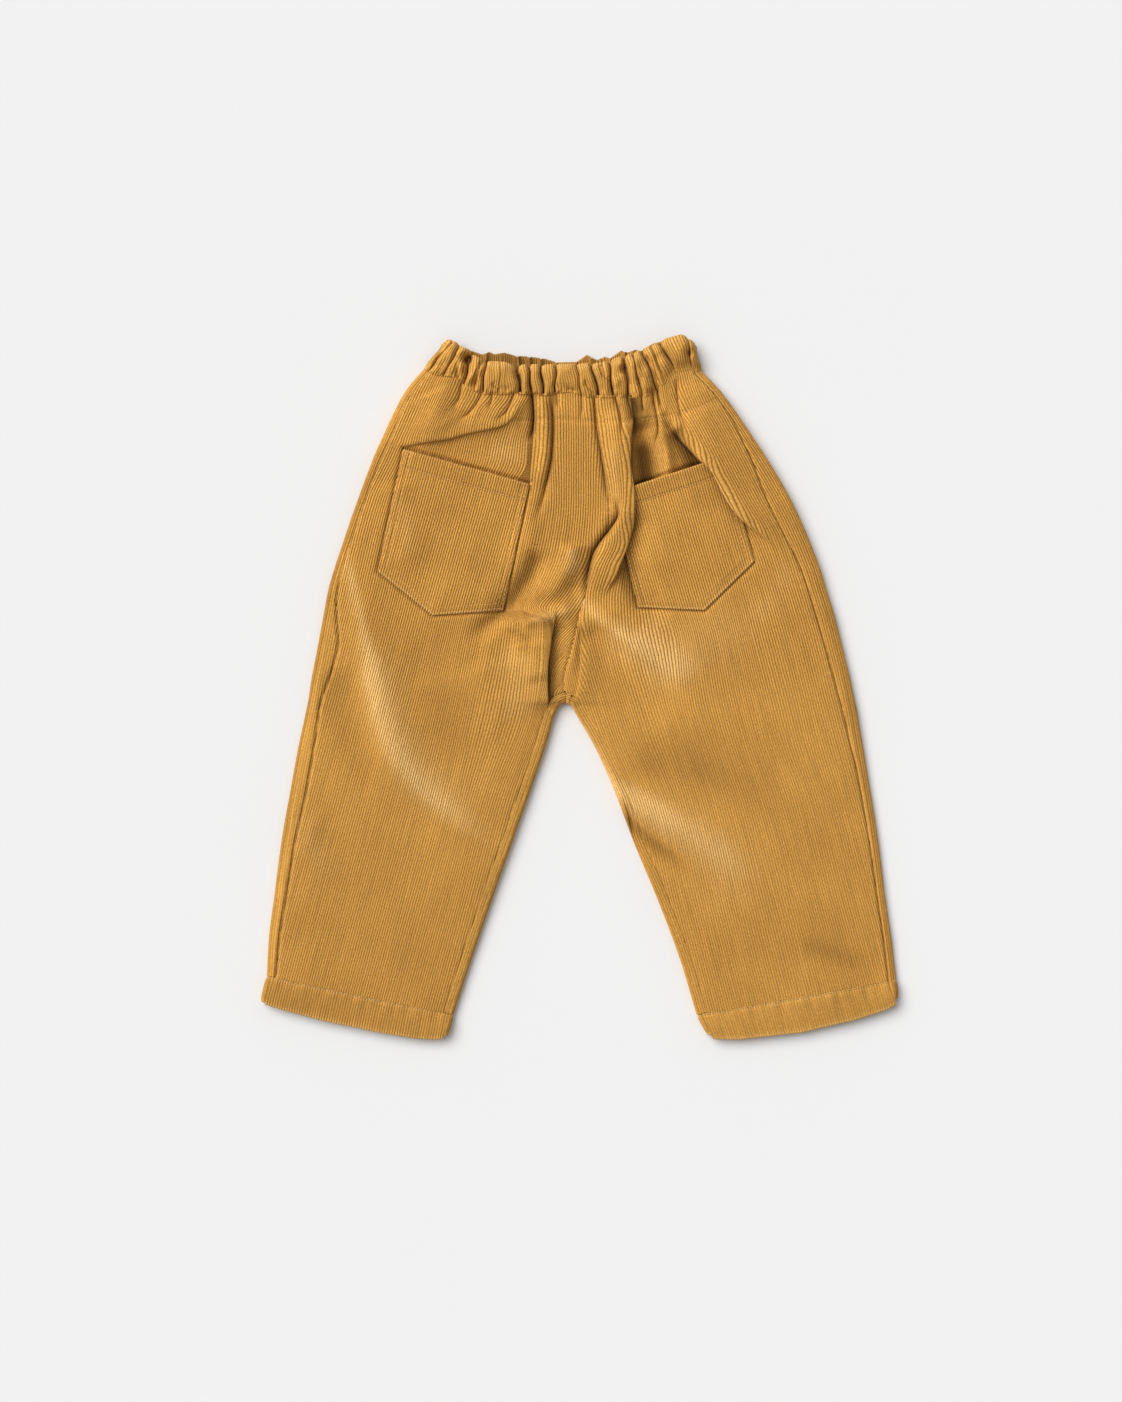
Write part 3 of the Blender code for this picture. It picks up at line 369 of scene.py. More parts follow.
FADED = 3.0              # a soft fold has faded out at this many of its reaches
GROOVE_FADED = 4.0       # and a groove at this many of its widths
LAP_SINK = 0.3           # how far the cloth sinks beside a fold, as a share of the fold's rise

# Overlaps: the cloth on the left of the route, walking along it, lies over the cloth on its right.
# forward is how far the fold's edge reaches over the route.
Lap = namedtuple("Lap", "name rise edge reach forward tail route")
LAPS = (
    Lap("left_flap", 1.7, 1.6, 13.0, 2.0, 0.3, ((-117.5, 151.8), (-97.2, 155.6), (-83.8, 157.5),
        (-70.5, 161.3), (-57.8, 163.8), (-45.1, 167.6), (-38.7, 175.3), (-34.9, 185.4))),
    Lap("seat_strip", 4.4, 2.0, 9.0, 3.0, 0.12, ((17.1, 57.1), (24.1, 76.2), (30.5, 93.3), (34, 108),
        (34.3, 119.4), (32.7, 130.8), (31.1, 143.5), (31.4, 157.5), (33, 170.2), (33, 188))),
    Lap("side_fold", 5.0, 2.0, 18.0, 3.4, 0.35, ((52.1, 172.7), (59.7, 167.6), (64.8, 159.4),
        (71.8, 151.8), (78.7, 144.1), (85.1, 137.8), (90.2, 127.6), (95.2, 118.1), (104.8, 106),
        (117.5, 94), (128.9, 83.8))),
    Lap("leg_over_crotch", 3.2, 1.8, 12.0, 2.6, 0.2, ((-19.1, -15.2), (-21, -2.5), (-21, 8.3),
        (-19.1, 26.7), (-16.5, 41.9), (-12.7, 52.1))),
    Lap("crotch_triangle", 1.8, 1.6, 9.0, 2.0, 0.2, ((1.3, 52.1), (1.6, 36.8), (1.9, 17.8), (0, -1.3),
        (-3.2, -11.4))),
)

# Painted highlights: streaks drawn lighter where the pile catches the light, with how much, and their reach
# to the left and the right.
PaintedStreak = namedtuple("PaintedStreak", "rise left right route tail", defaults=(0.3,))
PAINTED_HIGHLIGHTS = (
    PaintedStreak(0.60, 3.0, 4.2, ((-148, 88.9), (-143.5, 68.6), (-138.4, 47), (-132.7, 22.9), (-127.6, -1.3),
        (-121.9, -25.4))),
    PaintedStreak(0.62, 8.0, 5.4, ((-137.8, 40.6), (-133.3, 20.3), (-128.3, -3.8), (-122.6, -26.7),
        (-114.9, -43.2), (-104.8, -57.1), (-90.8, -71.1), (-69.2, -87.6), (-43.8, -106.7))),
    PaintedStreak(0.50, 16.0, 8.0, ((-135.3, 24.1), (-130.2, -1.3), (-123.8, -25.4), (-116.2, -41.9),
        (-104.8, -57.1), (-88.3, -72.4), (-62.9, -92.7))),
    PaintedStreak(0.50, 5.0, 3.0, ((-3.2, 62.2), (8.3, 47.6), (18.4, 38.7), (29.8, 30.5), (41.3, 22.9),
        (56.5, 15.2))),
    PaintedStreak(0.55, 10.0, 11.0, ((17.1, 39.4), (38.7, 25.4), (56.5, 15.2), (76.8, 3.8))),
    PaintedStreak(0.36, 13.0, 13.0, ((34.9, 39.4), (48.9, 26.7), (60.3, 15.2), (69.2, -1.3))),
    PaintedStreak(0.20, 20.0, 16.0, ((32.4, 24.1), (61.6, 20.3), (93.3, 34.3), (114.9, 55.9))),
    PaintedStreak(0.85, 5.6, 3.6, ((-1.9, -29.2), (9.5, -47.6), (21, -61.6), (34.9, -70.5), (50.2, -78.7),
        (70.5, -91.4))),
    PaintedStreak(0.60, 9.0, 9.0, ((17.1, -62.2), (34.9, -72.4), (54, -82.5), (73, -92.7), (90.8, -105.4),
        (108.6, -127))),
    PaintedStreak(0.30, 16.0, 18.0, ((28.6, -68.6), (51.4, -83.8), (76.8, -100.3), (99.7, -119.4),
        (117.5, -142.2))),
    PaintedStreak(0.20, 5.0, 9.0, ((1.3, -17.8), (8.3, -33), (17.1, -52.1), (26, -64.8))),
    PaintedStreak(0.34, 3.6, 0.8, ((54, 170.2), (64.8, 159.4), (78.7, 144.1), (90.2, 127.6), (99.7, 112.4),
        (117.5, 94))),
    PaintedStreak(0.30, 8.0, 8.0, ((-56.5, 153.7), (-43.8, 149.9), (-37.5, 141))),
    PaintedStreak(0.24, 12.0, 10.0, ((-50.2, 30.5), (-37.5, 5.1), (-50.2, -26.7))),
    PaintedStreak(0.55, 4.0, 5.0, ((-5.7, 88.9), (-3.2, 80), (-7, 69.8))),
    PaintedStreak(0.45, 3.0, 3.0, ((-31.1, 42.5), (-19.7, 45.1), (-8.3, 48.3), (-0.6, 50.8))),
    PaintedStreak(0.20, 5.0, 5.0, ((-111.1, 120.7), (-108.6, 100.3), (-107.3, 81.3))),
    PaintedStreak(0.20, 8.0, 8.0, ((-175.9, -78.7), (-167, -102.9), (-153, -124.5))),
    PaintedStreak(0.25, 3.0, 3.0, ((21.6, 157.5), (21.6, 132.1), (23.5, 111.8), (15.9, 90.8))),
    PaintedStreak(0.22, 8.0, 6.0, ((134, 81.3), (121.3, 55.9), (102.2, 43.2))),
    PaintedStreak(0.40, 4.0, 4.0, ((140.3, 157.5), (169.5, 106.7), (191.1, 43.2), (210.2, -33), (222.9, -102.9),
        (231.8, -185.4))),
)
# Painted shade, drawn darker where the cloth lies deep in folds and under other cloth: above the right
# pocket, then elsewhere.
RECESS_PAINTED_SHADE = (
    PaintedStreak(1.15, 6.4, 6.4, ((37.5, 160), (40.6, 149.9), (42.5, 137.2), (43.2, 124.5), (43.8, 106.7),
        (45.1, 88.9))),
    PaintedStreak(1.15, 4.2, 5.4, ((59.1, 165.1), (67.9, 153.7), (73, 144.8), (76.8, 133.3), (80.6, 111.8))),
)
PAINTED_SHADE = (
    PaintedStreak(0.80, 2.6, 2.6, ((-29.8, 189.2), (-29.2, 176.5), (-29.2, 166.4), (-31.8, 153.7))),
    PaintedStreak(0.55, 3.6, 2.4, ((-17.8, 185.4), (-16.5, 167), (-17.1, 148), (-20.3, 129.5), (-24.8, 114.3))),
    PaintedStreak(0.55, 2.4, 3.4, ((10.2, 185.4), (11.4, 163.8), (14.6, 144.8), (17.8, 125.7), (20.3, 111.8))),
    PaintedStreak(0.95, 3.0, 4.0, ((24.8, 114.3), (19.7, 102.9), (13.3, 94), (8.3, 83.8), (5.1, 71.1),
        (1.9, 53.3))),
    PaintedStreak(0.50, 5.0, 3.0, ((34.9, 120.7), (34.9, 100.3), (31.8, 83.8), (28.6, 68.6), (33.7, 55.9))),
    PaintedStreak(0.35, 8.0, 6.0, ((29.8, 81.3), (32.4, 63.5), (41.3, 48.3))),
    PaintedStreak(0.36, 3.0, 5.0, ((-24.1, 86.4), (-29.8, 73.7), (-37.5, 61), (-48.3, 48.3), (-59.1, 38.1))),
    PaintedStreak(0.75, 2.0, 4.6, ((-17.1, -15.2), (-19.1, 2.5), (-19.1, 16.5), (-17.8, 30.5), (-16.5, 50.8))),
    PaintedStreak(0.45, 3.0, 2.0, ((0.6, 43.2), (-0.6, 24.1), (-4.4, 5.1))),
    PaintedStreak(0.35, 5.0, 5.0, ((-34.3, 35.6), (-34.9, 27.9), (-33.7, 20.3))),
    PaintedStreak(0.30, 1.6, 2.6, ((-104.8, 151.8), (-83.8, 155.6), (-70.5, 158.8), (-57.8, 161.3),
        (-45.1, 165.1), (-34.9, 171.4))),
    PaintedStreak(0.90, 3.0, 3.4, ((32.4, 193), (33.7, 185.4), (34.9, 176.5), (34.9, 167.6), (33.7, 153.7))),
    PaintedStreak(0.30, 5.0, 5.0, ((17.1, 182.9), (26, 177.8), (38.7, 175.3), (51.4, 177.8))),
    PaintedStreak(0.70, 4.0, 6.0, ((0.6, -45.7), (13.3, -64.8), (27.3, -80.6), (42.5, -94), (59.1, -106.7),
        (76.8, -121.9))),
    PaintedStreak(0.26, 16.0, 14.0, ((27.3, -34.3), (54, -47), (84.5, -54.6), (114.9, -68.6), (140.3, -90.2))),
    PaintedStreak(0.20, 10.0, 12.0, ((-156.8, 17.8), (-150.5, -14), (-141.6, -40.6), (-126.4, -64.8))),
    PaintedStreak(0.22, 16.0, 12.0, ((-95.9, 5.1), (-80.6, -24.1), (-60.3, -52.1))),
    PaintedStreak(0.30, 6.0, 8.0, ((140.3, -160), (163.2, -168.9), (184.8, -177.8))),
    PaintedStreak(0.55, 0.8, 4.0, ((75.6, 147.3), (85.1, 135.9), (90.8, 123.8), (98.4, 110.5), (112.4, 94))),
    PaintedStreak(0.42, 4.0, 3.4, ((-107.3, 170.2), (-134, 132.1), (-155.6, 74.9), (-172.1, -1.3),
        (-187.3, -77.5), (-200, -153.7), (-207.6, -217.2))),
)

# ---------------------------------------------------------------- waist casing
# The grooves between the gathered pleats of the casing, from its top edge to its stitched seam.
Gather = namedtuple("Gather", "top_x top_y bottom_x bottom_y depth left right gap")
BACK_GATHERS = (
    Gather(-80.2, 217.6, -95.2, 201.2, 3.4, 1.6, 2.8, 0.1),
    Gather(-76.0, 214.8, -85.6, 199.0, 4.6, 2.0, 3.6, 0.2),
    Gather(-68.5, 211.0, -73.0, 192.0, 5.6, 4.6, 2.4, 0.5),
    Gather(-58.4, 204.6, -61.0, 186.6, 5.6, 4.4, 2.0, 0.4),
    Gather(-49.6, 204.6, -50.0, 186.6, 1.2, 2.6, 1.6, 0.0),
    Gather(-39.2, 201.8, -36.8, 185.6, 9.0, 3.0, 2.2, 1.1),
    Gather(-31.6, 201.8, -29.6, 185.6, 8.0, 2.4, 1.8, 0.8),
    Gather(-24.2, 201.8, -22.4, 185.2, 8.0, 2.0, 2.4, 0.7),
    Gather(-14.6, 203.6, -15.0, 185.0, 7.0, 2.6, 1.8, 0.6),
    Gather(-1.5, 203.2, 2.0, 185.0, 5.0, 4.0, 1.4, 0.3),
    Gather(7.8, 203.4, 12.8, 183.2, 7.4, 1.8, 2.6, 0.7),
    Gather(19.4, 203.0, 21.8, 183.4, 8.0, 2.6, 1.8, 0.7),
    Gather(28.6, 207.0, 31.4, 183.6, 8.4, 1.8, 2.2, 0.8),
    Gather(34.2, 209.0, 40.6, 184.4, 5.4, 2.2, 1.6, 0.3),
    Gather(40.0, 211.4, 49.6, 186.0, 7.4, 2.4, 3.0, 0.5),
    Gather(45.6, 213.4, 55.0, 189.0, 3.8, 1.6, 2.4, 0.2),
    Gather(51.6, 216.0, 61.2, 195.0, 6.8, 2.4, 3.4, 0.5),
    Gather(68.8, 221.0, 71.8, 200.0, 5.2, 4.6, 1.8, 0.5),
)
# Lobes and pits in the gathered casing: place, rise and reach.
Spot = namedtuple("Spot", "place rise reach")
SPOTS = (
    Spot((-74.9, 203.2), 3.4, 3.4),
    Spot((-70.5, 207.6), -9.0, 3.0),
    Spot((-80.6, 210.8), 1.6, 3.0),
    Spot((-86.4, 204.5), -1.6, 2.6),
    Spot((-64.1, 200.7), 2.0, 3.0),
    Spot((-66.7, 193), -2.0, 2.4),
    Spot((-48.9, 201.3), 0.9, 4.0),
    Spot((-8.3, 200.7), 0.8, 3.4),
    Spot((9.5, 196.8), 1.5, 2.6),
    Spot((13.3, 188), -1.6, 2.2),
    Spot((24.1, 193), 1.6, 2.6),
    Spot((27.3, 200.7), -3.2, 1.8),
    Spot((34.9, 204.5), 1.8, 3.0),
    Spot((38.7, 194.3), -2.4, 2.0),
    Spot((43.8, 200.7), 2.2, 2.8),
    Spot((50.2, 208.3), -2.0, 2.4),
    Spot((54, 196.8), 1.6, 3.2),
    Spot((69.8, 211.5), -4.2, 2.2),
    Spot((64.1, 214.6), 1.4, 3.4),
    Spot((33, 183.5), -4.0, 1.8),
)
# Slanting folds across the gathers.
CASING_FOLDS = (
    Crease("pit_ring", 2.0, 2.0, 2.0, ((-77.5, 208.9), (-72.4, 213.4), (-65.4, 210.8), (-63.5, 203.2),
        (-68.6, 194.3), (-73.7, 188))),
    Crease("pit_side", -3.0, 1.3, 1.5, ((-76.2, 207), (-76.8, 199.4), (-72.4, 190.5), (-67.3, 185.4))),
    Crease("pit_right", -3.4, 1.3, 1.5, ((-61, 207), (-64.8, 196.8), (-66, 187.3))),
    Crease("peak_groove", -2.2, 1.2, 1.2, ((-84.5, 217.2), (-88.3, 210.8), (-94, 200.7))),
    Crease("slant_left", -3.2, 1.3, 1.3, ((26, 204.5), (31.1, 195.6), (34.3, 185.4))),
    Crease("slant_ridge", 1.8, 2.6, 2.6, ((32.4, 208.3), (38.7, 198.1), (45.1, 185.4))),
    Crease("slant_right", -3.0, 1.3, 1.3, ((41.9, 210.8), (47, 201.9), (51.4, 190.5))),
    Crease("low_tuck", -2.6, 1.1, 1.2, ((3.2, 194.3), (7.6, 188.6), (14.6, 184.2))),
    Crease("high_tuck", -2.4, 1.2, 1.2, ((13.3, 204.5), (15.9, 198.1), (21, 193))),
    Crease("wide_tuck", -1.8, 1.2, 1.4, ((-14.6, 191.8), (-8.3, 188.6), (0, 187.3))),
    Crease("left_tuck", -1.8, 1.2, 1.4, ((-55.2, 193), (-50.2, 189.2), (-42.5, 188))),
)
CASING_TOP = (           # the casing's top edge in plan, from the left side to the right
    (-87.4, 216.0), (-83.0, 219.4), (-79.6, 218.6), (-75.0, 215.6),
    (-69.0, 210.6), (-60.0, 205.4), (-47.0, 204.8), (-39.6, 202.0), (-35.2, 203.2), (-29.5, 203.4),
    (-21.4, 203.0), (-13.0, 203.6), (-1.0, 203.4), (5.0, 204.0), (14.0, 204.2), (23.0, 207.2),
    (34.3, 210.4), (47.6, 216.0), (54.9, 219.6), (64.0, 222.2), (68.0, 221.2), (73.1, 216.8), (74.6, 214.0),
)
FRONT_CASING_TOP = (     # the front half's top edge, which shows behind the back half
    (-87.4, 214.0), (-83.0, 217.0), (-76.0, 216.0), (-68.0, 212.6), (-61.6, 210.2), (-57.0, 212.0),
    (-54.0, 210.4), (-47.4, 211.4), (-40.9, 209.6), (-30.5, 208.8), (-21.8, 207.6), (-13.7, 205.2),
    (-1.5, 205.6), (5.0, 210.0), (11.4, 206.8), (16.3, 208.8), (20.0, 208.0), (26.8, 212.8), (31.2, 211.6),
    (35.8, 213.4), (38.6, 212.4), (46.9, 217.2), (54.9, 219.4), (63.8, 220.0), (70.0, 217.0), (74.6, 212.0),
)
CASING_SIDES = ((-87.4, -98.6), (74.6, 77.6))  # X of the two ends, at the top edge and at the seam
CASING_PROFILE = (       # height of the back casing down its width, from the top edge to the seam
    (0.0, 12.6), (0.08, 14.0), (0.2, 15.2), (0.4, 15.8), (0.6, 15.6), (0.8, 14.8), (0.92, 14.0), (1.0, 12.8),
)
CASING_WALL = 3.0        # thickness of the roll along its top edge
FRONT_PLEATS = 0.3       # depth of the front half's pleats, as a share of the back half's
PLEAT_PULL = 0.42        # how far a pleat draws the top edge down, as a share of its depth
CASING_SWAY = 0.7        # how far the pleats wander sideways between the top edge and the seam
CASING_LIFT = 5.0        # the casing's rise at its two ends, which the spacing of its wales allows for
CASING_WEAR = 0.3        # how rubbed the rolled top edge is
CASING_SHADE = 0.9       # and how much painted shade darkens the pleats
CASING_DARK = (2.0, 8.5)     # over these depths
CASING_COLUMN = 40       # the grid column along which the cloth is measured down the casing
CASING_MIDDLE = 5.2      # height of the fold at the two sides
CASING_END = 7.0         # how far in from a side the casing comes up to its full height
CASING_PUCKER = 0.35     # height of the small puckers along the casing's seam
CASING_MELTS = (38.7, 61.6)  # over these X the casing's seam goes over softly into the panel
FRONT_RIPPLE = 1.2       # unevenness of the front half, which shows inside the waist
FRONT_CASING_SHADE_X = -37.5   # where the painted shade inside the waist is darkest
# Rows of the casing's grid: share of the way down to the seam, and angle round the rolled top edge. They
# run up the outside, over the roll, and down the inside.
CASING_ROLL = 6
CASING_ROWS = (
    *((down, 0.0) for down in (1.04, 1.0, 0.97, 0.93, 0.88, 0.82, 0.74, 0.66, 0.58, 0.5, 0.42, 0.34, 0.26,
                               0.19, 0.13, 0.08, 0.04, 0.0)),
    *((0.0, math.pi * (step + 1) / CASING_ROLL) for step in range(CASING_ROLL)),
    *((down, math.pi) for down in (0.1, 0.25, 0.45, 0.7)),
)

# ---------------------------------------------------------------- pockets
# A row for each pocket's corners, and how far X moves along its wales for each step in Y.
Pocket = namedtuple("Pocket", "name node top_outer top_inner low_inner low_point low_outer lean")
POCKETS = (
    Pocket("pocket_left_patch", "pocket_left", (-111.1, 151.1), (-31.1, 128.9), (-47.6, 48.9),
        (-92.7, 45.7), (-127.6, 73.7), 0.285),
    Pocket("pocket_right_patch", "pocket_right", (92.1, 146.7), (19.7, 123.2), (37.5, 50.8),
        (79.4, 48.9), (111.1, 80), -0.295),
)
POCKET_COVERS = ("seat_strip", "side_fold")
COVERING_CREASES = ("strip_body", "right_yoke", "dark_recess", "narrow_fold", "side_recess")
COVER_REACH = 30.0
COVERED_DEPTH = 5.0      # how deep a pocket's corner lies under the fold that covers it
UNDER_POCKET = 1.0       # how far below its patch the panel is kept
POCKET_DENT = 1.5        # how deep the panel is pressed in along a pocket's edge
POCKET_DENT_WIDTH = 1.3
POCKET_MOUTH_DENT = 2.6  # how much deeper that is along the opening
POCKET_SEWN_DENT = 1.2   # and along the sewn edges
POCKET_STITCHES = (1.5, 4.6)  # two rows in from the sewn edges
POCKET_LIFT = 1.5        # the patch's top face above the panel
POCKET_MOUTH_LIFT = 1.6  # more at the opening, where the hem makes it thicker
POCKET_HEM = 11.2        # from the opening to the hem's stitches
POCKET_MOUTH_REACH = 7.0
POCKET_HEM_LIFT = 0.5    # the doubled cloth between the opening and the hem's stitches
POCKET_SINK = 0.6        # how far a patch's edge goes down into the panel
POCKET_STITCH_SINK = 0.5
POCKET_STITCH_WIDTH = 0.7
POCKET_SLACK = 0.45      # height of the slack waves between the stitched lines
POCKET_ROUND = 1.1       # radius of the patch's turned edges
POCKET_EDGE_ROWS = (0.0, 0.3, 0.6, 1.0, 1.5, 2.2, 3.0)  # grid rows over those edges, in from each end
POCKET_ROWS = (4.2, 96.0, 1.25)      # from, to and step of the rows between them
POCKET_SLANT = 1.06      # length of a patch along its slanting wales, as a share of its height
POCKET_MARGIN = 30.0     # how far outside a patch its wales are counted from
POCKET_EDGE_WEAR_AND_HIGHLIGHT = 0.75  # how much lighter the two lower edges are: rubbed pile and a painted highlight
POCKET_MOUTH_WEAR = 0.25
POCKET_STEPS = 30        # rounds in which a row's points settle along it

# ---------------------------------------------------------------- hems
# The hems' lower edges, from the outer side to the inner.
HEM_END_LEFT = (
    (-201.9, -197.5), (-197.5, -199.7), (-189.9, -202.2), (-163.2, -209.4), (-128.9, -216.7), (-103.5, -221),
    (-88.3, -221.6), (-82.5, -219.7),
)
HEM_END_RIGHT = (
    (202.6, -195.6), (200, -200), (193.7, -203.2), (173.4, -209.7), (140.3, -217.3), (101, -221.7),
    (85.1, -221.4), (80.6, -219.1),
)
HEM_ROWS = (             # share of the way down the hem, and how far in from its full thickness
    (-0.03, 1.6), (0.0, 1.0), (0.03, 0.55), (0.06, 0.6), (0.09, 0.55), (0.13, 0.3), (0.2, 0.1), (0.32, -0.05),
    (0.5, -0.1), (0.68, -0.05), (0.84, 0.05), (0.95, 0.2), (1.0, 0.35),
)
HEM_LIP_STEPS = 6
HEM_INSIDE_ROWS = (0.9, 0.6, 0.3)
HEM_EDGE = 4.0           # width of cloth that each folded edge takes up
HEM_EDGE_SHARE = 0.03    # and the share of the hem's width that it covers
HEM_FLARE = 0.3          # how much wider the hem is than the leg, on each side
HEM_PUFF = 0.5           # how far its face lies above the leg's
HEM_PUCKER = 0.45        # height of the small puckers under its stitches
HEM_LIP = 2.6            # thickness of the turned hem at its end
HEM_END_WEAR = 0.6       # how rubbed its rolled end is
HEM_TOP_HIGHLIGHT = 0.55      # and the painted highlight along its top edge
# painted shade over the whole hem
HEM_SHADE = 0.1
HEM_COLUMN = 60          # the grid column along which the cloth is measured down a hem

# ---------------------------------------------------------------- threads
STITCH = 2.5             # length of one stitch
STITCH_PITCH = 3.0
BAR_ROWS = 3
BAR_LENGTH = 4.6
BAR_STITCH = 1.6
BAR_PITCH = 1.5
BAR_INSET = 0.7          # from the opening down to the first row of a bar
BAR_GAP = 0.5
BAR_START = 0.8          # from the opening's end to the bar
STITCH_LIFT = 0.1        # how far a thread's middle lies above a pocket's face
LOOSE_STITCH = 6.4       # the one long thread that has come loose
LOOSE_PITCH = 7.0
HEM_STITCH_RISE = 0.75
HEM_LINE = 0.4           # from the hem's top edge down to its stitches
HEM_LINE_END = 2.5       # from the leg's edges to its first and last stitch
THREAD_RADIUS = 0.22
THREAD_SIDES = 6
# Rings along one stitch: share of its length from its middle, share of the thread's radius, and rise.
STITCH_RINGS = (
    (-0.5, 0.35, -0.25), (-0.3, 0.9, 0.05), (0.0, 1.0, 0.16), (0.3, 0.9, 0.05), (0.5, 0.35, -0.25),
)

# ---------------------------------------------------------------- grid spacing
SEAT_ROWS = (188, 90.8, 1.15)    # from, to, step
LOWER_SEAT_ROWS = (90.8, -15.2, 1.5)
LEG_ROWS = (-15.2, -205.7, 4.2)
HEM_NOMINAL_Y = -198.1
TUCK = 1.5               # how far a panel runs on under the casing
ROW_FADE = 55.0          # how far from the casing and the hem the rows follow their seams
SEAM_STEPS = 12          # rounds in which a row finds where it meets a seam
ROW_STEPS = 8            # and in which a row's points settle along it
FRONT_ROW_STEP = 3.2
ARC_WALES = 7            # wales round a folded edge
UNDERSIDE_WALES = 100

# ---------------------------------------------------------------- cuts (metres: across the wales, along them)
POCKET_CUTS = ((0.084, 0.103), (0.078, 0.098))
POCKET_AREAS = (0.0074, 0.0063)

# ---------------------------------------------------------------- colours (linear)
RIDGE = (0.66, 0.335, 0.070, 1.0)
# between the wales: the pile's deeper colour together with painted shade
VALLEY = (0.24, 0.096, 0.010, 1.0)
# lighter colour of rubbed pile and of painted highlights
WORN_AND_HIGHLIGHT = (0.88, 0.54, 0.19, 1.0)
THREAD = (0.70, 0.385, 0.105, 1.0)
# painted shade: the colour that shaded cloth is drawn towards
PAINTED_SHADE_COLOUR = (0.075, 0.028, 0.004, 1.0)
SHEEN = (1.0, 0.72, 0.34, 1.0)
# how strongly painted shade draws the cloth towards it
PAINTED_SHADE_STRENGTH = 0.8
PAINTED_LIGHT_WAY = (-0.82, 0.5)     # painted light: cloth that faces this way, towards the key light's side, is drawn lighter
FLOOR = (0.825, 0.825, 0.825, 1.0)


# ================================================================ curves
def smooth_values(at, values, place):
    """A smooth curve through values, given at rising places, read at other places."""
    at = np.asarray(at, float)
    values = np.asarray(values, float)
    steps = np.diff(values) / np.diff(at)
    before, after = steps[:-1], steps[1:]
    product = before * after
    inner = np.where(product > 0, 2 * product / np.where(product > 0, before + after, 1.0), 0.0)
    slopes = np.concatenate((steps[:1], inner, steps[-1:]))
    place = np.asarray(place, float)
    index = np.clip(np.searchsorted(at, place) - 1, 0, len(at) - 2)
    span = at[index + 1] - at[index]
    t = np.clip((place - at[index]) / span, 0.0, 1.0)
    start = values[index] * (1 + 2 * t) * (1 - t) ** 2 + slopes[index] * span * t * (1 - t) ** 2
    end = values[index + 1] * t**2 * (3 - 2 * t) + slopes[index + 1] * span * t**2 * (t - 1)
    return start + end


def x_along(route, y):
    """The X of a route that runs one way in Y, at each y."""
    points = sorted(route, key=lambda point: point[1])
    return smooth_values([point[1] for point in points], [point[0] for point in points], y)


def y_along(route, x):
    """The Y of a route that runs one way in X, at each x."""
    points = sorted(tuple(point) for point in route)
    return np.interp(x, [point[0] for point in points], [point[1] for point in points])


def smoothstep(low, high, value):
    """0 below low and 1 above high, with a soft step between them."""
    share = np.clip((value - low) / (high - low), 0.0, 1.0)
    return share * share * (3.0 - 2.0 * share)


def rounded_route(route, step):
    """The route as many short steps round smooth bends."""
    points = np.asarray(route, float)
    lengths = lengths_along(points)
    places = np.linspace(0.0, lengths[-1], max(3, int(lengths[-1] / step)))
    return np.stack([smooth_values(lengths, points[:, axis], places) for axis in (0, 1)], axis=1)


def beside(route, x, y, reach):
    """Share of the way along a route, distance to it (positive on the left) and the way to the left."""
    points = rounded_route(route, max(1.6, reach / 8.0))
    along = np.zeros(x.shape)
    across = np.full(x.shape, 1e6)
    left = np.zeros(x.shape + (2,))
    low = points.min(axis=0) - reach
    high = points.max(axis=0) + reach
    near = (x > low[0]) & (x < high[0]) & (y > low[1]) & (y < high[1])
    if not near.any():
        return along, across, left
    px, py = x[near], y[near]
    best = np.full(px.shape, 1e6)
    share_near = np.zeros(px.shape)
    side_near = np.ones(px.shape)
    normal_near = np.zeros(px.shape + (2,))
    last = len(points) - 1
    for index in range(last):
        step = points[index + 1] - points[index]
        length = np.linalg.norm(step)
        dx, dy = px - points[index, 0], py - points[index, 1]
        local = np.flatnonzero((np.abs(dx) < reach + length) & (np.abs(dy) < reach + length))
        dx, dy = dx[local], dy[local]
        t = np.clip((dx * step[0] + dy * step[1]) / length**2, 0.0, 1.0)
        distance = np.hypot(dx - t * step[0], dy - t * step[1])
        closer = distance < best[local]
        chosen = local[closer]
        best[chosen] = distance[closer]
        share_near[chosen] = (index + t[closer]) / last
        side_near[chosen] = np.where(step[0] * dy[closer] - step[1] * dx[closer] >= 0, 1.0, -1.0)
        normal_near[chosen] = (-step[1] / length, step[0] / length)
    along[near] = share_near
    across[near] = best * side_near
    left[near] = normal_near
    return along, across, left


def lengths_along(points):
    """Distance along a line of points, from its first point to each of them."""
    return np.concatenate(([0.0], np.cumsum(np.linalg.norm(np.diff(points, axis=0), axis=1))))


def fading(along, tail=FADE):
    """How far a fold has grown at each share of its route: tail is the share over which it ends."""
    return smoothstep(0.0, min(0.22, max(FADE, tail / 2)), along) * smoothstep(1.0, 1.0 - tail, along)


# ================================================================ how the cloth lies
def outline_x(sections, edge, y):
    """X of the outer or inner edge of a half at each y."""
    xs = [getattr(section, edge + "_x") for section in sections]
    ys = [getattr(section, edge + "_y") for section in sections]
    order = np.argsort(ys)
    return np.interp(y, np.array(ys)[order], np.array(xs)[order])


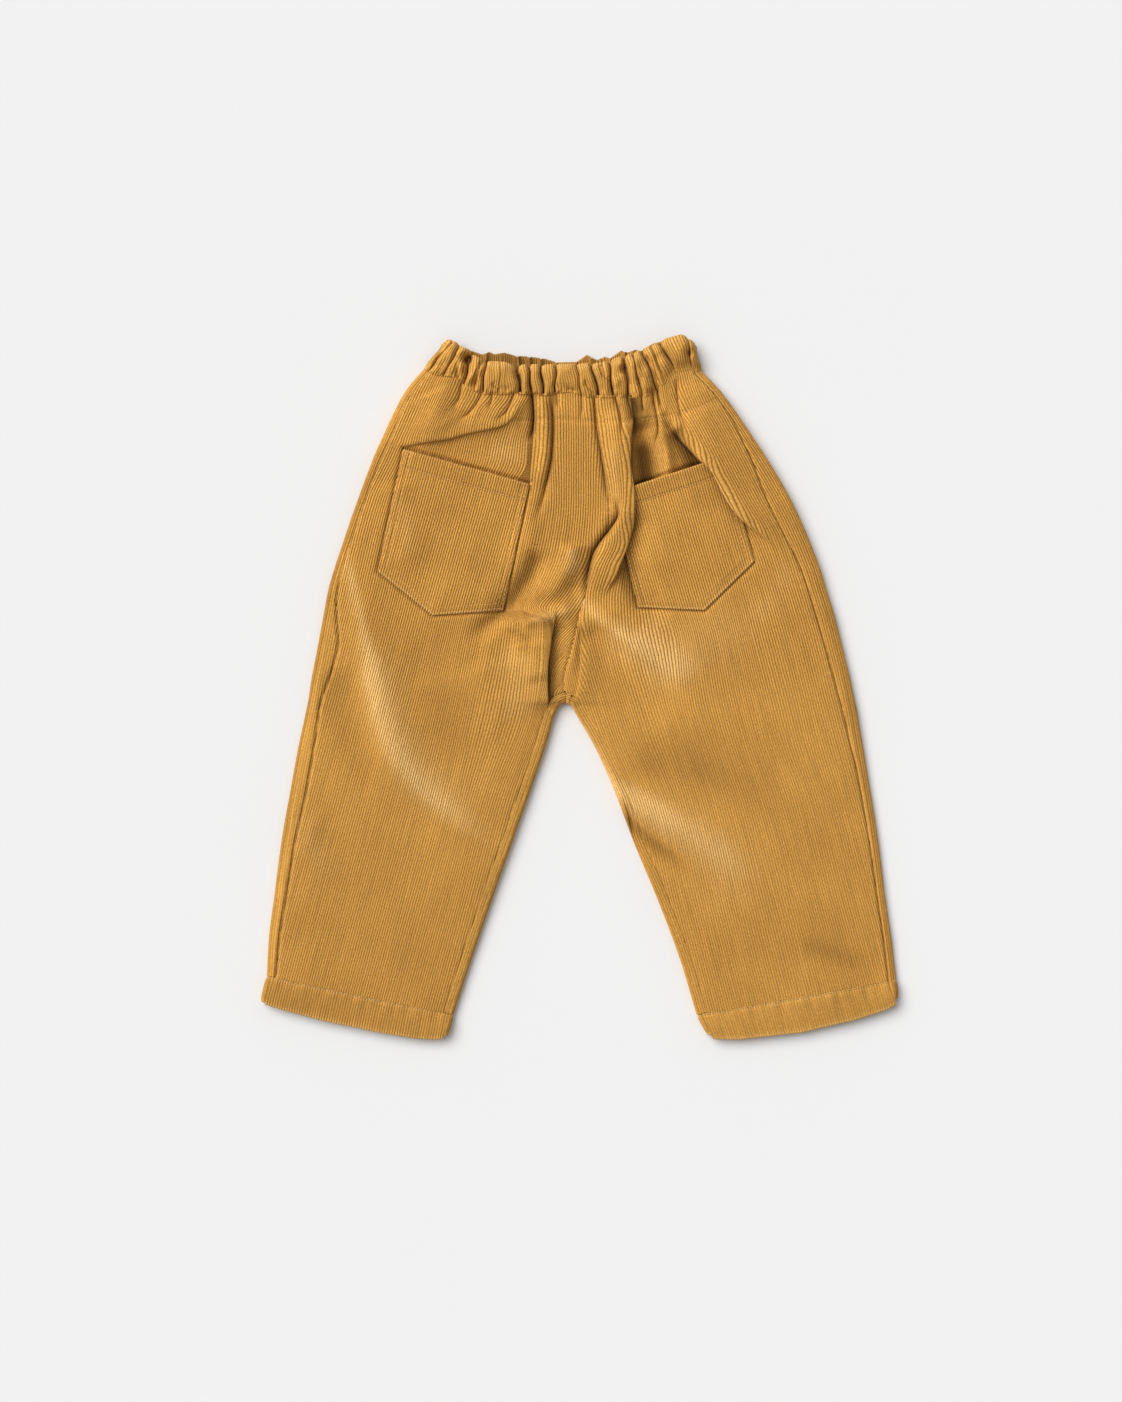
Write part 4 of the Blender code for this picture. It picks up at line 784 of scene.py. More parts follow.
def edge_distance(x, y):
    """How far a point lies in from the nearest long edge of the garment."""
    outer = np.minimum(x - outline_x(LEFT_SECTIONS, "outer", y), outline_x(RIGHT_SECTIONS, "outer", y) - x)
    inner_left = outline_x(LEFT_SECTIONS[CROTCH_ROW:], "inner", y) - x
    inner_right = x - outline_x(RIGHT_SECTIONS[CROTCH_ROW:], "inner", y)
    middle = (LEFT_SECTIONS[CROTCH_ROW].inner_x + RIGHT_SECTIONS[CROTCH_ROW].inner_x) / 2
    inner = np.where(x < middle, inner_left, inner_right)
    in_leg = y < LEFT_SECTIONS[CROTCH_ROW].inner_y
    return np.maximum(np.where(in_leg, np.minimum(outer, inner), outer), 0.0)


def resting_height(x, y):
    """Height of the top layer before its folds."""
    height = np.interp(y, [loft.y for loft in LOFTS], [loft.height for loft in LOFTS])
    height = height - EDGE_DROOP * np.exp(-edge_distance(x, y) / EDGE_REACH)
    for rise, wave_x, wave_y, start in SWELLS:
        height = height + rise * np.sin(2 * math.pi * (x / wave_x + y / wave_y) + start)
    return height


def raised(creases, x, y):
    """What soft ridges and troughs, or streaks of painted highlight and painted shade, add up to at each
    point.
    """
    total = np.zeros(x.shape)
    for crease in creases:
        along, across, _ = beside(crease.route, x, y, FADED * max(crease.left, crease.right))
        reach = np.where(across > 0, crease.left, crease.right)
        total = total + crease.rise * np.exp(-(across / reach) ** 2) * fading(along, crease.tail)
    return total


def grooved(x, y):
    """The sideways moves and the height that the narrow grooves give the cloth."""
    dx, dy, height = np.zeros((3, *x.shape))
    for groove in GROOVES:
        along, across, left = beside(groove.route, x, y, GROOVE_FADED * groove.width)
        grown = fading(along, groove.tail)
        lean = across / groove.width
        height = height - groove.depth * np.exp(-lean ** 2) * grown
        slide = -groove.pinch * lean * np.exp(0.5 - 0.5 * lean**2) * grown
        dx = dx + slide * left[..., 0]
        dy = dy + slide * left[..., 1]
    return dx, dy, height


def lapped(x, y):
    """The sideways moves and the height where one fold lies over the cloth beside it."""
    dx, dy, height = np.zeros((3, *x.shape))
    for lap in LAPS:
        along, across, left = beside(lap.route, x, y, FADED * lap.reach)
        grown = fading(along, lap.tail)
        over = (1.0 + np.tanh((across - 0.3 * lap.edge) / (0.6 * lap.edge))) / 2
        over = over * np.exp(-(np.maximum(across, 0.0) / lap.reach) ** 2)
        under = LAP_SINK * np.exp(-(2.0 * np.minimum(across, 0.0) / lap.reach) ** 2) * (across < 0)
        height = height + lap.rise * (over - under) * grown
        slide = -lap.forward * np.exp(-((across - 0.9 * lap.edge) / lap.edge) ** 2) * grown
        dx = dx + slide * left[..., 0]
        dy = dy + slide * left[..., 1]
    return dx, dy, height


def under_pockets(height, x, y):
    """The height of the panel once its pockets press into it and hide what is under them."""
    shown = 1.0 - pocket_cover(x, y)
    for pocket in POCKETS:
        mouth, sewn = pocket_inset(pocket, x, y)
        inset = np.minimum(mouth, sewn)
        if not (inset > -4.0).any():
            continue
        share = np.where(mouth < sewn, POCKET_MOUTH_DENT, POCKET_SEWN_DENT)
        dent = share * POCKET_DENT * np.exp(-(inset / POCKET_DENT_WIDTH) ** 2)
        beneath = smoothstep(0.8, 3.0, inset) * shown
        height = height - dent * shown
        height = height + (under_laps(x, y) - UNDER_POCKET - height) * beneath
    return height


def sewn_seams(x, y):
    """How far the seams and the second line of casing stitches draw the cloth down."""
    _, across, _ = beside(SECOND_CASING_LINE, x, y, SEAM_REACH)
    height = -CASING_LINE_DEPTH * SEAM_DEPTH * np.exp(-(across / CASING_LINE_WIDTH) ** 2)
    for route, depth in zip(SEAM_ROUTES, SEAM_DEPTHS):
        along, across, _ = beside(route, x, y, SEAM_REACH)
        height = height - depth * np.exp(-(across / SEAM_WIDTH) ** 2)
        puckers = np.sin(along * SEAM_PUCKERS) * np.sin(along * 0.37 * SEAM_PUCKERS + 1.0)
        height = height + SEAM_PUCKER * puckers * np.exp(-(across / SEAM_PUCKER_WIDTH) ** 2)
    return height


def fold_cloth(x, y):
    """Where the folds carry the top layer: the sideways moves and the height."""
    groove_dx, groove_dy, groove_height = grooved(x, y)
    lap_dx, lap_dy, lap_height = lapped(x, y)
    height = resting_height(x, y) + raised(CREASES, x, y) + groove_height + lap_height
    height = under_pockets(height, x, y) + sewn_seams(x, y)
    return groove_dx + lap_dx, groove_dy + lap_dy, height


def wale_height(count):
    """Height of the corduroy's ribs at a wale count, from 0 in a valley to 1 on a crest."""
    phase = np.mod(count, 1.0)
    return np.interp(phase, (*WALE_PHASES, 1.0), (*WALE_SHAPE, WALE_SHAPE[0]))


def wale_columns(first, last):
    """Wale counts of a grid's columns: in the valley, on both shoulders and on the crest of each wale."""
    whole = np.arange(math.floor(first), math.ceil(last))
    return (whole[:, None] + np.array(WALE_PHASES)).ravel()


# ================================================================ grids
def grid_normals(points, ring):
    """Unit normals of a grid of points, whose last column meets the first on a ring."""
    if ring:
        across = np.roll(points, -1, axis=1) - np.roll(points, 1, axis=1)
    else:
        across = np.gradient(points, axis=1)
    normals = np.cross(np.gradient(points, axis=0), across)
    return normals / np.maximum(np.linalg.norm(normals, axis=2, keepdims=True), 1e-9)


def grid_piece(name, points, counts, alongs, first=None, last=None, ring=False, present=True, wear_and_light=0.0,
               out=1.0, relief=1.0):
    """A mesh from a grid of points, with its wales raised out of it.

    counts and alongs give each point's place across the wales and along them. Columns outside first..last of
    a row are joined to its end points, and cells that aren't present are left out.
    """
    rows, columns = counts.shape
    normals = grid_normals(points, ring) * out
    # painted light: how far each point's surface faces the key light's side
    nap = normals[..., 0] * PAINTED_LIGHT_WAY[0] + normals[..., 1] * PAINTED_LIGHT_WAY[1]
    points = points + normals * ((wale_height(counts) - 1.0) * WALE_RISE * relief)[..., None]
    points[..., 2] = np.maximum(points[..., 2], 0.0)
    index = np.broadcast_to(np.arange(columns), (rows, columns))
    if first is not None:
        index = np.clip(index, first[:, None], last[:, None])
    index = index + columns * np.arange(rows)[:, None]
    if ring:
        index = np.concatenate((index, index[:, :1]), axis=1)
    a, b = index[:-1, :-1], index[:-1, 1:]
    c, d = index[1:, 1:], index[1:, :-1]
    kept = np.broadcast_to(present, a.shape)
    triangles = np.concatenate((
        np.stack((a, d, c), axis=-1)[kept],
        np.stack((a, c, b), axis=-1)[kept],
    ))
    proper = (triangles[:, 0] != triangles[:, 1]) & (triangles[:, 1] != triangles[:, 2])
    triangles = triangles[proper & (triangles[:, 0] != triangles[:, 2])]
    used, triangles = np.unique(triangles, return_inverse=True)
    values = {"wale": counts, "along": alongs, "wear_and_light": wear_and_light, "nap": nap}
    values = {key: np.broadcast_to(value, counts.shape).reshape(-1)[used] for key, value in values.items()}
    return mesh_piece(name, points.reshape(-1, 3)[used], triangles.reshape(-1, 3), values)


def mesh_piece(name, points, triangles, values):
    """A smooth mesh with a value for each of its points, for the materials to read."""
    mesh = bpy.data.meshes.new(name)
    mesh.vertices.add(len(points))
    mesh.vertices.foreach_set("co", (points * MM).astype(np.float32).ravel())
    mesh.loops.add(triangles.size)
    mesh.loops.foreach_set("vertex_index", triangles.astype(np.int32).ravel())
    mesh.polygons.add(len(triangles))
    mesh.polygons.foreach_set("loop_start", np.arange(0, triangles.size, 3, dtype=np.int32))
    mesh.update(calc_edges=True)
    mesh.validate()
    mesh.shade_smooth()
    for key, value in values.items():
        layer = mesh.attributes.new(key, "FLOAT", "POINT")
        layer.data.foreach_set("value", value.astype(np.float32))
    piece = bpy.data.objects.new(name, mesh)
    bpy.context.collection.objects.link(piece)
    return piece


# ================================================================ halves
class Half:
    """One half of the garment, as fine rows across it."""

    def __init__(self, sections, side):
        self.side = side
        last = len(sections) - 1
        top, crotch = sections[0], sections[CROTCH_ROW]
        arch_end = CROTCH_ROW + ARCH_SECTIONS
        seat = np.arange(0, CROTCH_ROW, FRONT_ROW_STEP / (top.inner_y - crotch.inner_y) * CROTCH_ROW)
        arch = np.linspace(CROTCH_ROW, arch_end, ARCH_ROWS)[:-1]
        leg_count = int((sections[arch_end].inner_y - sections[last].inner_y) / FRONT_ROW_STEP)
        leg = np.linspace(arch_end, last, leg_count)
        self.rows = np.concatenate((seat, arch, leg))
        self.crotch = len(seat)
        columns = [smooth_values(np.arange(last + 1), values, self.rows) for values in zip(*sections)]
        outer_x, outer_y, inner_x, inner_y, self.strip = columns
        self.outer = np.stack((outer_x, outer_y), axis=1)
        self.inner = np.stack((inner_x, inner_y), axis=1)
        self.outer_way = self.ways(self.outer, side)
        self.inner_way = self.ways(self.inner, -side)
        self.inner_way[self.crotch] = (0.0, -1.0)
        self.side_seam = self.outer - self.outer_way * self.strip[:, None]
        self.leg_seam = self.inner - self.inner_way * WRAP
        self.front_centre = self.inner.copy()
        share = (top.inner_y - self.inner[:self.crotch, 1]) / (top.inner_y - crotch.inner_y)
        self.front_centre[:self.crotch, 0] = FRONT_SEAM_TOP_X + share * (crotch.inner_x - FRONT_SEAM_TOP_X)

    @staticmethod
    def ways(points, sign):
        """Unit vectors out of the garment along an edge."""
        runs = np.gradient(points, axis=0)
        ways = np.stack((-runs[:, 1], runs[:, 0]), axis=1)
        ways = ways / np.linalg.norm(ways, axis=1, keepdims=True)
        return np.where((ways[:, :1] * sign) > 0, ways, -ways)

    def seam_limits(self, y):
        """X of the back panel's two sides at each y."""
        order = np.argsort(self.side_seam[:, 1])
        side = np.interp(y, self.side_seam[order, 1], self.side_seam[order, 0])
        leg = self.leg_seam[self.crotch:]
        order = np.argsort(leg[:, 1])
        leg_x = np.interp(y, leg[order, 1], leg[order, 0])
        centre = x_along(CENTRE_SEAM, y)
        return side, np.where(y > leg[0, 1], centre, leg_x)


LEFT = Half(LEFT_SECTIONS, -1)
RIGHT = Half(RIGHT_SECTIONS, 1)
SIDE_SEAMS = (LEFT.side_seam[::3], RIGHT.side_seam[::3])
LEG_SEAMS = (LEFT.leg_seam[LEFT.crotch::2], RIGHT.leg_seam[RIGHT.crotch::2])
SEAM_ROUTES = (*SIDE_SEAMS, *LEG_SEAMS, CENTRE_SEAM)
SEAM_DEPTHS = (1.5 * SEAM_DEPTH, 1.5 * SEAM_DEPTH, 0.3 * SEAM_DEPTH, 0.3 * SEAM_DEPTH, SEAM_DEPTH)


def wale_place(lines, count, y):
    """X of a wale at each y."""
    counts = np.array([line.count for line in lines], float)
    places = np.stack([x_along(line.route, y) for line in lines])
    index = np.clip(np.searchsorted(counts, count) - 1, 0, len(counts) - 2)
    share = (count - counts[index]) / (counts[index + 1] - counts[index])
    low = np.take_along_axis(places, index[None], axis=0)[0]
    high = np.take_along_axis(places, index[None] + 1, axis=0)[0]
    return low + (high - low) * share


def row_y(nominal, x, hem_route):
    """Y on a row of a back panel: rows near the casing and the hem follow their seams."""
    top = SEAT_ROWS[0]
    top_share = np.clip((nominal - top + ROW_FADE) / ROW_FADE, 0.0, 1.0)
    low_share = np.clip((HEM_NOMINAL_Y + ROW_FADE - nominal) / ROW_FADE, 0.0, 1.0)
    top_shift = y_along(CASING_SEAM, x) + TUCK - top
    hem_shift = y_along(hem_route, x) - HEM_NOMINAL_Y
    return nominal + top_shift * top_share**1.5 + hem_shift * low_share**1.5


def spaced(start, end, step):
    """Even places from start to just before end, about a step apart."""
    return np.linspace(start, end, max(2, int(round(abs(end - start) / step)) + 1))[:-1]


def seam_counts(half, lines, nominal, hem_route, side):
    """The wale count at which each row meets one of the panel's two seams."""
    x = half.seam_limits(nominal)[side]
    for _ in range(SEAM_STEPS):
        y = row_y(nominal, x, hem_route)
        x = 0.5 * x + 0.5 * half.seam_limits(y)[side]
    y = row_y(nominal, x, hem_route)
    counts = [line.count for line in lines]
    places = np.stack([x_along(line.route, y) for line in lines], axis=1)
    return np.array([np.interp(x_here, row, counts) for x_here, row in zip(x, places)])


def back_panel(name, half, lines):
    """The back of one half, from its side seam to the centre seam and the inner leg seam."""
    nominal = np.concatenate((spaced(*SEAT_ROWS), spaced(*LOWER_SEAT_ROWS), spaced(*LEG_ROWS)))
    nominal = np.append(nominal[nominal >= HEM_NOMINAL_Y], HEM_NOMINAL_Y)
    hem_route = (half.outer[-1], half.inner[-1])
    columns = wale_columns(lines[0].count + 1, lines[-1].count - 1)
    limits = [seam_counts(half, lines, nominal, hem_route, side) for side in (0, 1)]
    low, high = np.minimum(*limits), np.maximum(*limits)
    counts = np.clip(columns, low[:, None], high[:, None])
    rows = np.broadcast_to(nominal[:, None], counts.shape)
    y = rows
    for _ in range(ROW_STEPS):
        x = wale_place(lines, counts, y)
        y = 0.4 * y + 0.6 * row_y(rows, x, hem_route)
    x = wale_place(lines, counts, y)
    dx, dy, z = fold_cloth(x, y)
    points = np.stack((x + dx, y + dy, z), axis=2)
    first = np.maximum(np.searchsorted(columns, low) - 1, 0)
    last = np.minimum(np.searchsorted(columns, high), len(columns) - 1)
    return grid_piece(name, points, counts, -y, first, last, wear_and_light=wear_and_painted_light(x, y))


def wear_and_painted_light(x, y):
    """Lighter pile from painted highlights and rubbed seam beads; below zero, darker from painted shade."""
    wear_and_light = raised(PAINTED_HIGHLIGHTS, x, y) - np.minimum(raised(PAINTED_SHADE + RECESS_PAINTED_SHADE, x, y), 1.0)
    for route in SIDE_SEAMS:
        along, across, _ = beside(route, x, y, BEAD_REACH)
        beads = 0.5 + 0.5 * np.sin(along * 0.5 * SEAM_PUCKERS)
        # rubbed beads with a painted highlight beside the seam, and painted shade in its core
        wear_and_light = wear_and_light + BEAD_WEAR_AND_HIGHLIGHT * np.exp(-((np.abs(across) - BEAD_OFFSET) / BEAD_WIDTH) ** 2) * beads
        wear_and_light = wear_and_light - SEAM_SHADE * np.exp(-(across / BEAD_WIDTH) ** 2)
    return wear_and_light


def over_strip(half, top, fold_width):
    """The front's columns on the upper side, from the side seam to the outer fold."""
    flat = np.maximum(half.strip - fold_width, LEAST_STRIP)
    widest = half.strip.max() - fold_width.min()
    columns = []
    for step in wale_columns(0, math.ceil(widest / WALE))[::-1]:
        inset = np.minimum(step * WALE, flat) + fold_width
        x, y = (half.outer - half.outer_way * inset[:, None]).T
        dx, dy, z = fold_cloth(x, y)
        share = min(step * WALE / STRIP_JOIN, 1.0)
        place = np.column_stack((x + dx * share, y + dy * share, top + (z - top) * share))
        columns.append((-np.minimum(step, flat / WALE), place))
    return columns


def folded_edge(edge, way, radius, first_count, turn):
    """Columns round a folded edge: turn is -1 where it goes down to the underside and 1 where it comes up."""
    columns = []
    for step in wale_columns(0, ARC_WALES):
        angle = math.pi * step / ARC_WALES
        inset = EDGE_ROUNDNESS * radius * (1.0 - math.sin(angle))
        place = np.column_stack((edge - way * inset[:, None], radius * (1.0 - turn * math.cos(angle))))
        columns.append((first_count + step, place))
    return columns


def underside(start, end):
    """Columns of the cloth that lies on the floor, from the outer fold to the inner one."""
    columns = []
    for step in wale_columns(0, UNDERSIDE_WALES):
        place = start + (end - start) * (step / UNDERSIDE_WALES)
        columns.append((ARC_WALES + step, np.column_stack((place, raised(UNDER_CREASES, *place.T)))))
    return columns


def inner_wrap(half, top, fold_width, first_count):
    """Columns where the front comes up over the inner leg edge."""
    flat = np.maximum(WRAP - fold_width, LEAST_STRIP)
    columns = []
    for step in wale_columns(0, math.ceil(WRAP / WALE)):
        inset = np.minimum(step * WALE, flat) + fold_width
        place = half.inner - half.inner_way * inset[:, None]
        z = fold_cloth(*place.T)[2] if step > 0 else top
        columns.append((first_count + np.minimum(step, flat / WALE), np.column_stack((place, z))))
    return columns


def front_panel(name, half):
    """The front of one half: a strip on top, the outer fold, the underside, and the inner leg fold."""
    rows = len(half.rows)
    outer_top = fold_cloth(*half.side_seam.T)[2] - OUTER_SINK
    inner_top = fold_cloth(*half.leg_seam.T)[2] - INNER_SINK
    outer_width = EDGE_ROUNDNESS * outer_top / 2
    inner_width = EDGE_ROUNDNESS * inner_top / 2
    start = half.outer - half.outer_way * outer_width[:, None]
    in_leg = np.arange(rows) >= half.crotch
    inner_start = half.inner - half.inner_way * inner_width[:, None]
    end = np.where(in_leg[:, None], inner_start, half.front_centre)
    columns = over_strip(half, outer_top, outer_width)
    columns += folded_edge(half.outer, half.outer_way, outer_top / 2, 0, -1)[1:]
    columns += underside(start, end)
    seat_columns = len(columns)
    inner_count = ARC_WALES + UNDERSIDE_WALES
    columns += folded_edge(half.inner, half.inner_way, inner_top / 2, inner_count, 1)
    columns += inner_wrap(half, inner_top, inner_width, inner_count + ARC_WALES)
    points = np.stack([place for _, place in columns], axis=1)
    counts = np.stack([np.broadcast_to(count, rows) for count, _ in columns], axis=1)
    present = np.ones((rows - 1, len(columns) - 1), bool)
    present[:half.crotch, seat_columns - 1:] = False
    alongs = lengths_along(half.outer)[:, None]
    x, y = points[..., 0], points[..., 1]
    # painted highlights and painted shade, as on the back
    wear_and_light = raised(PAINTED_HIGHLIGHTS, x, y) - raised(PAINTED_SHADE, x, y)
    return grid_piece(name, points, counts, alongs, present=present, out=half.side, wear_and_light=wear_and_light)


# ================================================================ waist casing
def gather_lines():
    """Each gather's X at the top edge and at the seam, with the casing's two ends."""
    tops = [CASING_SIDES[0][0], *(g.top_x for g in BACK_GATHERS), CASING_SIDES[1][0]]
    bottoms = [CASING_SIDES[0][1], *(g.bottom_x for g in BACK_GATHERS), CASING_SIDES[1][1]]
    return np.array(tops), np.array(bottoms)


def casing_shape(seam_x, down, depth_scale):
    """X and the drop below the pleats' tops, for places on the casing that end at seam_x."""
    tops, bottoms = gather_lines()
    top_x = np.interp(seam_x, bottoms, tops)
    x = top_x + (seam_x - top_x) * down
    drop = np.zeros(x.shape)
    slide = np.zeros(x.shape)
    for gather in BACK_GATHERS:
        away = x - (gather.top_x + (gather.bottom_x - gather.top_x) * down)
        width = np.where(away < 0, gather.left, gather.right)
        near = np.clip(1.0 - (np.abs(away) - gather.gap) / width, 0.0, 1.0)
        drop = np.maximum(drop, gather.depth * (1.0 - np.sqrt(1.0 - near**2)))
        lean = away / (0.5 * width)
        slide = slide - 0.2 * width * lean * np.exp(0.5 - 0.5 * lean**2)
    sway = CASING_SWAY * np.sin(seam_x * 0.37 + 5.0 * down) * np.sin(math.pi * down)
    return x + slide * depth_scale + sway, drop * depth_scale


def casing_end(seam_x):
    """0 at the casing's two sides and 1 across its middle, rounded."""
    inward = np.minimum(seam_x - CASING_SIDES[0][1], CASING_SIDES[1][1] - seam_x) / CASING_END
    return np.sqrt(np.clip(1.0 - (1.0 - np.clip(inward, 0.0, 1.0)) ** 2, 0.0, 1.0))


def casing_columns():
    """Places along the seam line, a wale's width of cloth apart however steep the pleats are."""
    fine = np.linspace(CASING_SIDES[0][1], CASING_SIDES[1][1], 4000)
    x, drop = casing_shape(fine, 0.5, 1.0)
    height = CASING_LIFT * casing_end(fine) - drop
    lengths = lengths_along(np.column_stack((x, height)))
    wales = int(lengths[-1] / WALE)
    counts = wale_columns(0, wales)
    return np.interp(counts * lengths[-1] / wales, lengths, fine), counts


def spotted(spots, x, y):
    """What lobes and pits add up to at each point."""
    total = np.zeros(x.shape)
    for spot in spots:
        away = ((x - spot.place[0]) ** 2 + (y - spot.place[1]) ** 2) / spot.reach**2
        total = total + spot.rise * np.exp(-away)
    return total


def back_casing_height(seam_x, x, y, down, drop, panel):
    """Height of the outside of the back half, which shows: pleats, lobes, folds and the sewn seam."""
    pucker = CASING_PUCKER * np.sin(seam_x * 1.9 + 2.0 * np.sin(seam_x * 0.31)) * smoothstep(0.7, 0.95, down)
    face = np.interp(down, *zip(*CASING_PROFILE)) - drop + pucker
    face = face + spotted(SPOTS, x, y) + raised(CASING_FOLDS, x, y)
    sharp = 1.0 - smoothstep(*CASING_MELTS, seam_x)
    joined = smoothstep(0.9 - 0.3 * (1.0 - sharp), 1.02, down)
    face = face + (panel + 0.2 + 0.8 * sharp - face) * joined
    return face - (0.5 + 1.9 * sharp) * smoothstep(1.0, 1.04, down)


def casing(name, top_route, on_top):
    """One half of the waist casing: a doubled wall whose top edge is a roll."""
    seam_x, counts = casing_columns()
    tops, bottoms = gather_lines()
    seam_y = y_along(CASING_SEAM, seam_x)
    top_y = y_along(top_route, np.interp(seam_x, bottoms, tops))
    end = casing_end(seam_x)
    panel = fold_cloth(seam_x, seam_y - 0.6)[2]
    pits = [spot for spot in SPOTS if spot.rise < 0]
    points = []
    pleat_shade = []
    for down, angle in CASING_ROWS:
        depth_scale = (0.7 + 0.45 * math.sin(math.pi * min(down, 1.0))) * (1.0 if on_top else FRONT_PLEATS)
        x, drop = casing_shape(seam_x, min(down, 1.0), depth_scale)
        y = top_y + (seam_y - top_y) * down
        y = y + 0.5 * CASING_WALL * math.sin(angle) - PLEAT_PULL * drop * max(0.0, 1.0 - 4.0 * down)
        rolled = 0.5 * CASING_WALL * (1.0 - math.cos(angle))
        if on_top:
            z = back_casing_height(seam_x, x, y, down, drop, panel) - rolled
        else:
            z = rolled + (angle > 0) * (0.8 * drop + FRONT_RIPPLE * (1.0 - np.exp(-drop)))
            y = y - 0.2 * (1.0 - end)
        points.append(np.stack((x, y, CASING_MIDDLE + (z - CASING_MIDDLE) * end), axis=1))
        pleat_shade.append(smoothstep(*CASING_DARK, drop - spotted(pits, x, y)))
    points = np.stack(points)
    alongs = lengths_along(points[:, CASING_COLUMN])[:, None]
    downs = np.array([down for down, _ in CASING_ROWS])[:, None]
    if on_top:
        # a rubbed rolled top edge, and painted shade in the deep pleats
        wear_and_light = CASING_WEAR * np.exp(-(downs / 0.12) ** 2) - CASING_SHADE * np.stack(pleat_shade)
    else:
        # painted shade over the whole front half, deepest inside the waist
        wear_and_light = -0.35 - 0.35 * np.exp(-((points[..., 0] - FRONT_CASING_SHADE_X) / 18.0) ** 2)
    counts = np.broadcast_to(counts, points.shape[:2])
    out = -1.0 if on_top else 1.0
    return grid_piece(name, points, counts, alongs, wear_and_light=wear_and_light, out=out, relief=smoothstep(0.0, 0.5, end))


# ================================================================ pockets
def distance_to(start, end, x, y):
    """How far each point lies to the right of the line from one point to another."""
    run = np.subtract(end, start)
    return ((x - start[0]) * run[1] - (y - start[1]) * run[0]) / np.hypot(*run)


def pocket_corners(pocket):
    """The corners of the four sewn edges, from one end of the opening to the other."""
    return (pocket.top_inner, pocket.low_inner, pocket.low_point, pocket.low_outer, pocket.top_outer)


def pocket_inset(pocket, x, y):
    """How far a point lies in from the pocket's opening, and from its other four edges."""
    side = 1.0 if pocket.lean > 0 else -1.0
    mouth = side * distance_to(pocket.top_outer, pocket.top_inner, x, y)
    corners = pocket_corners(pocket)
    sewn = np.min([side * distance_to(a, b, x, y) for a, b in zip(corners, corners[1:])], axis=0)
    return mouth, sewn


def pocket_low_edges(pocket, x, y):
    """Distance to the nearer line of the pocket's two slanting lower edges."""
    corners = pocket_corners(pocket)[1:4]
    return np.min([np.abs(distance_to(a, b, x, y)) for a, b in zip(corners, corners[1:])], axis=0)


def pocket_cover(x, y):
    """0 where a pocket is seen and 1 where a fold of the seat lies over it."""
    cover = np.zeros(x.shape)
    for lap in LAPS:
        if lap.name in POCKET_COVERS:
            along, across, _ = beside(lap.route, x, y, COVER_REACH)
            over = smoothstep(-0.5, 1.5, across) * (across < COVER_REACH)
            cover = np.maximum(cover, over * smoothstep(1.0, 0.8, along))
    return cover


def under_laps(x, y):
    """Height of the panel where a pocket lies on it, without the folds that cover the pocket."""
    creases = [crease for crease in CREASES if crease.name not in COVERING_CREASES]
    return resting_height(x, y) + raised(creases, x, y) - COVERED_DEPTH * pocket_cover(x, y)


def pocket_height(pocket, x, y):
    """Height of a patch: turned edges, a thick hem at the opening, sunk stitch lines and a little slack."""
    mouth, sewn = pocket_inset(pocket, x, y)
    edge = np.minimum(mouth, sewn)
    turned = np.sqrt(np.clip(1.0 - (1.0 - np.clip(edge / POCKET_ROUND, 0.0, 1.0)) ** 2, 0.0, 1.0))
    thick = np.exp(-(mouth / POCKET_MOUTH_REACH) ** 2) * smoothstep(0.0, 9.0, sewn)
    lift = POCKET_LIFT + POCKET_MOUTH_LIFT * thick
    lift = lift + POCKET_HEM_LIFT * smoothstep(POCKET_HEM + 0.8, POCKET_HEM - 0.8, mouth)
    stitched = 0.0
    for inset in POCKET_STITCHES:
        stitched = stitched + POCKET_STITCH_SINK * np.exp(-((sewn - inset) / POCKET_STITCH_WIDTH) ** 2)
    stitched = stitched + 0.45 * np.exp(-((mouth - POCKET_HEM) / 0.8) ** 2)
    slack = POCKET_SLACK * np.sin(x * 0.11 + y * 0.07) * np.sin(y * 0.16 - x * 0.05)
    slack = slack * smoothstep(2.0, 16.0, edge)
    return under_laps(x, y) - POCKET_SINK + (lift + POCKET_SINK) * turned - stitched + slack


def pocket_row_y(pocket, share, x):
    """Y of a row of the patch, a share of the way down from its opening to its pointed end."""
    top_line = (pocket.top_outer, pocket.top_inner)
    low_line = (pocket.low_outer, pocket.low_point, pocket.low_inner)
    return line_y(top_line, x) * (1.0 - share) + line_y(low_line, x) * share


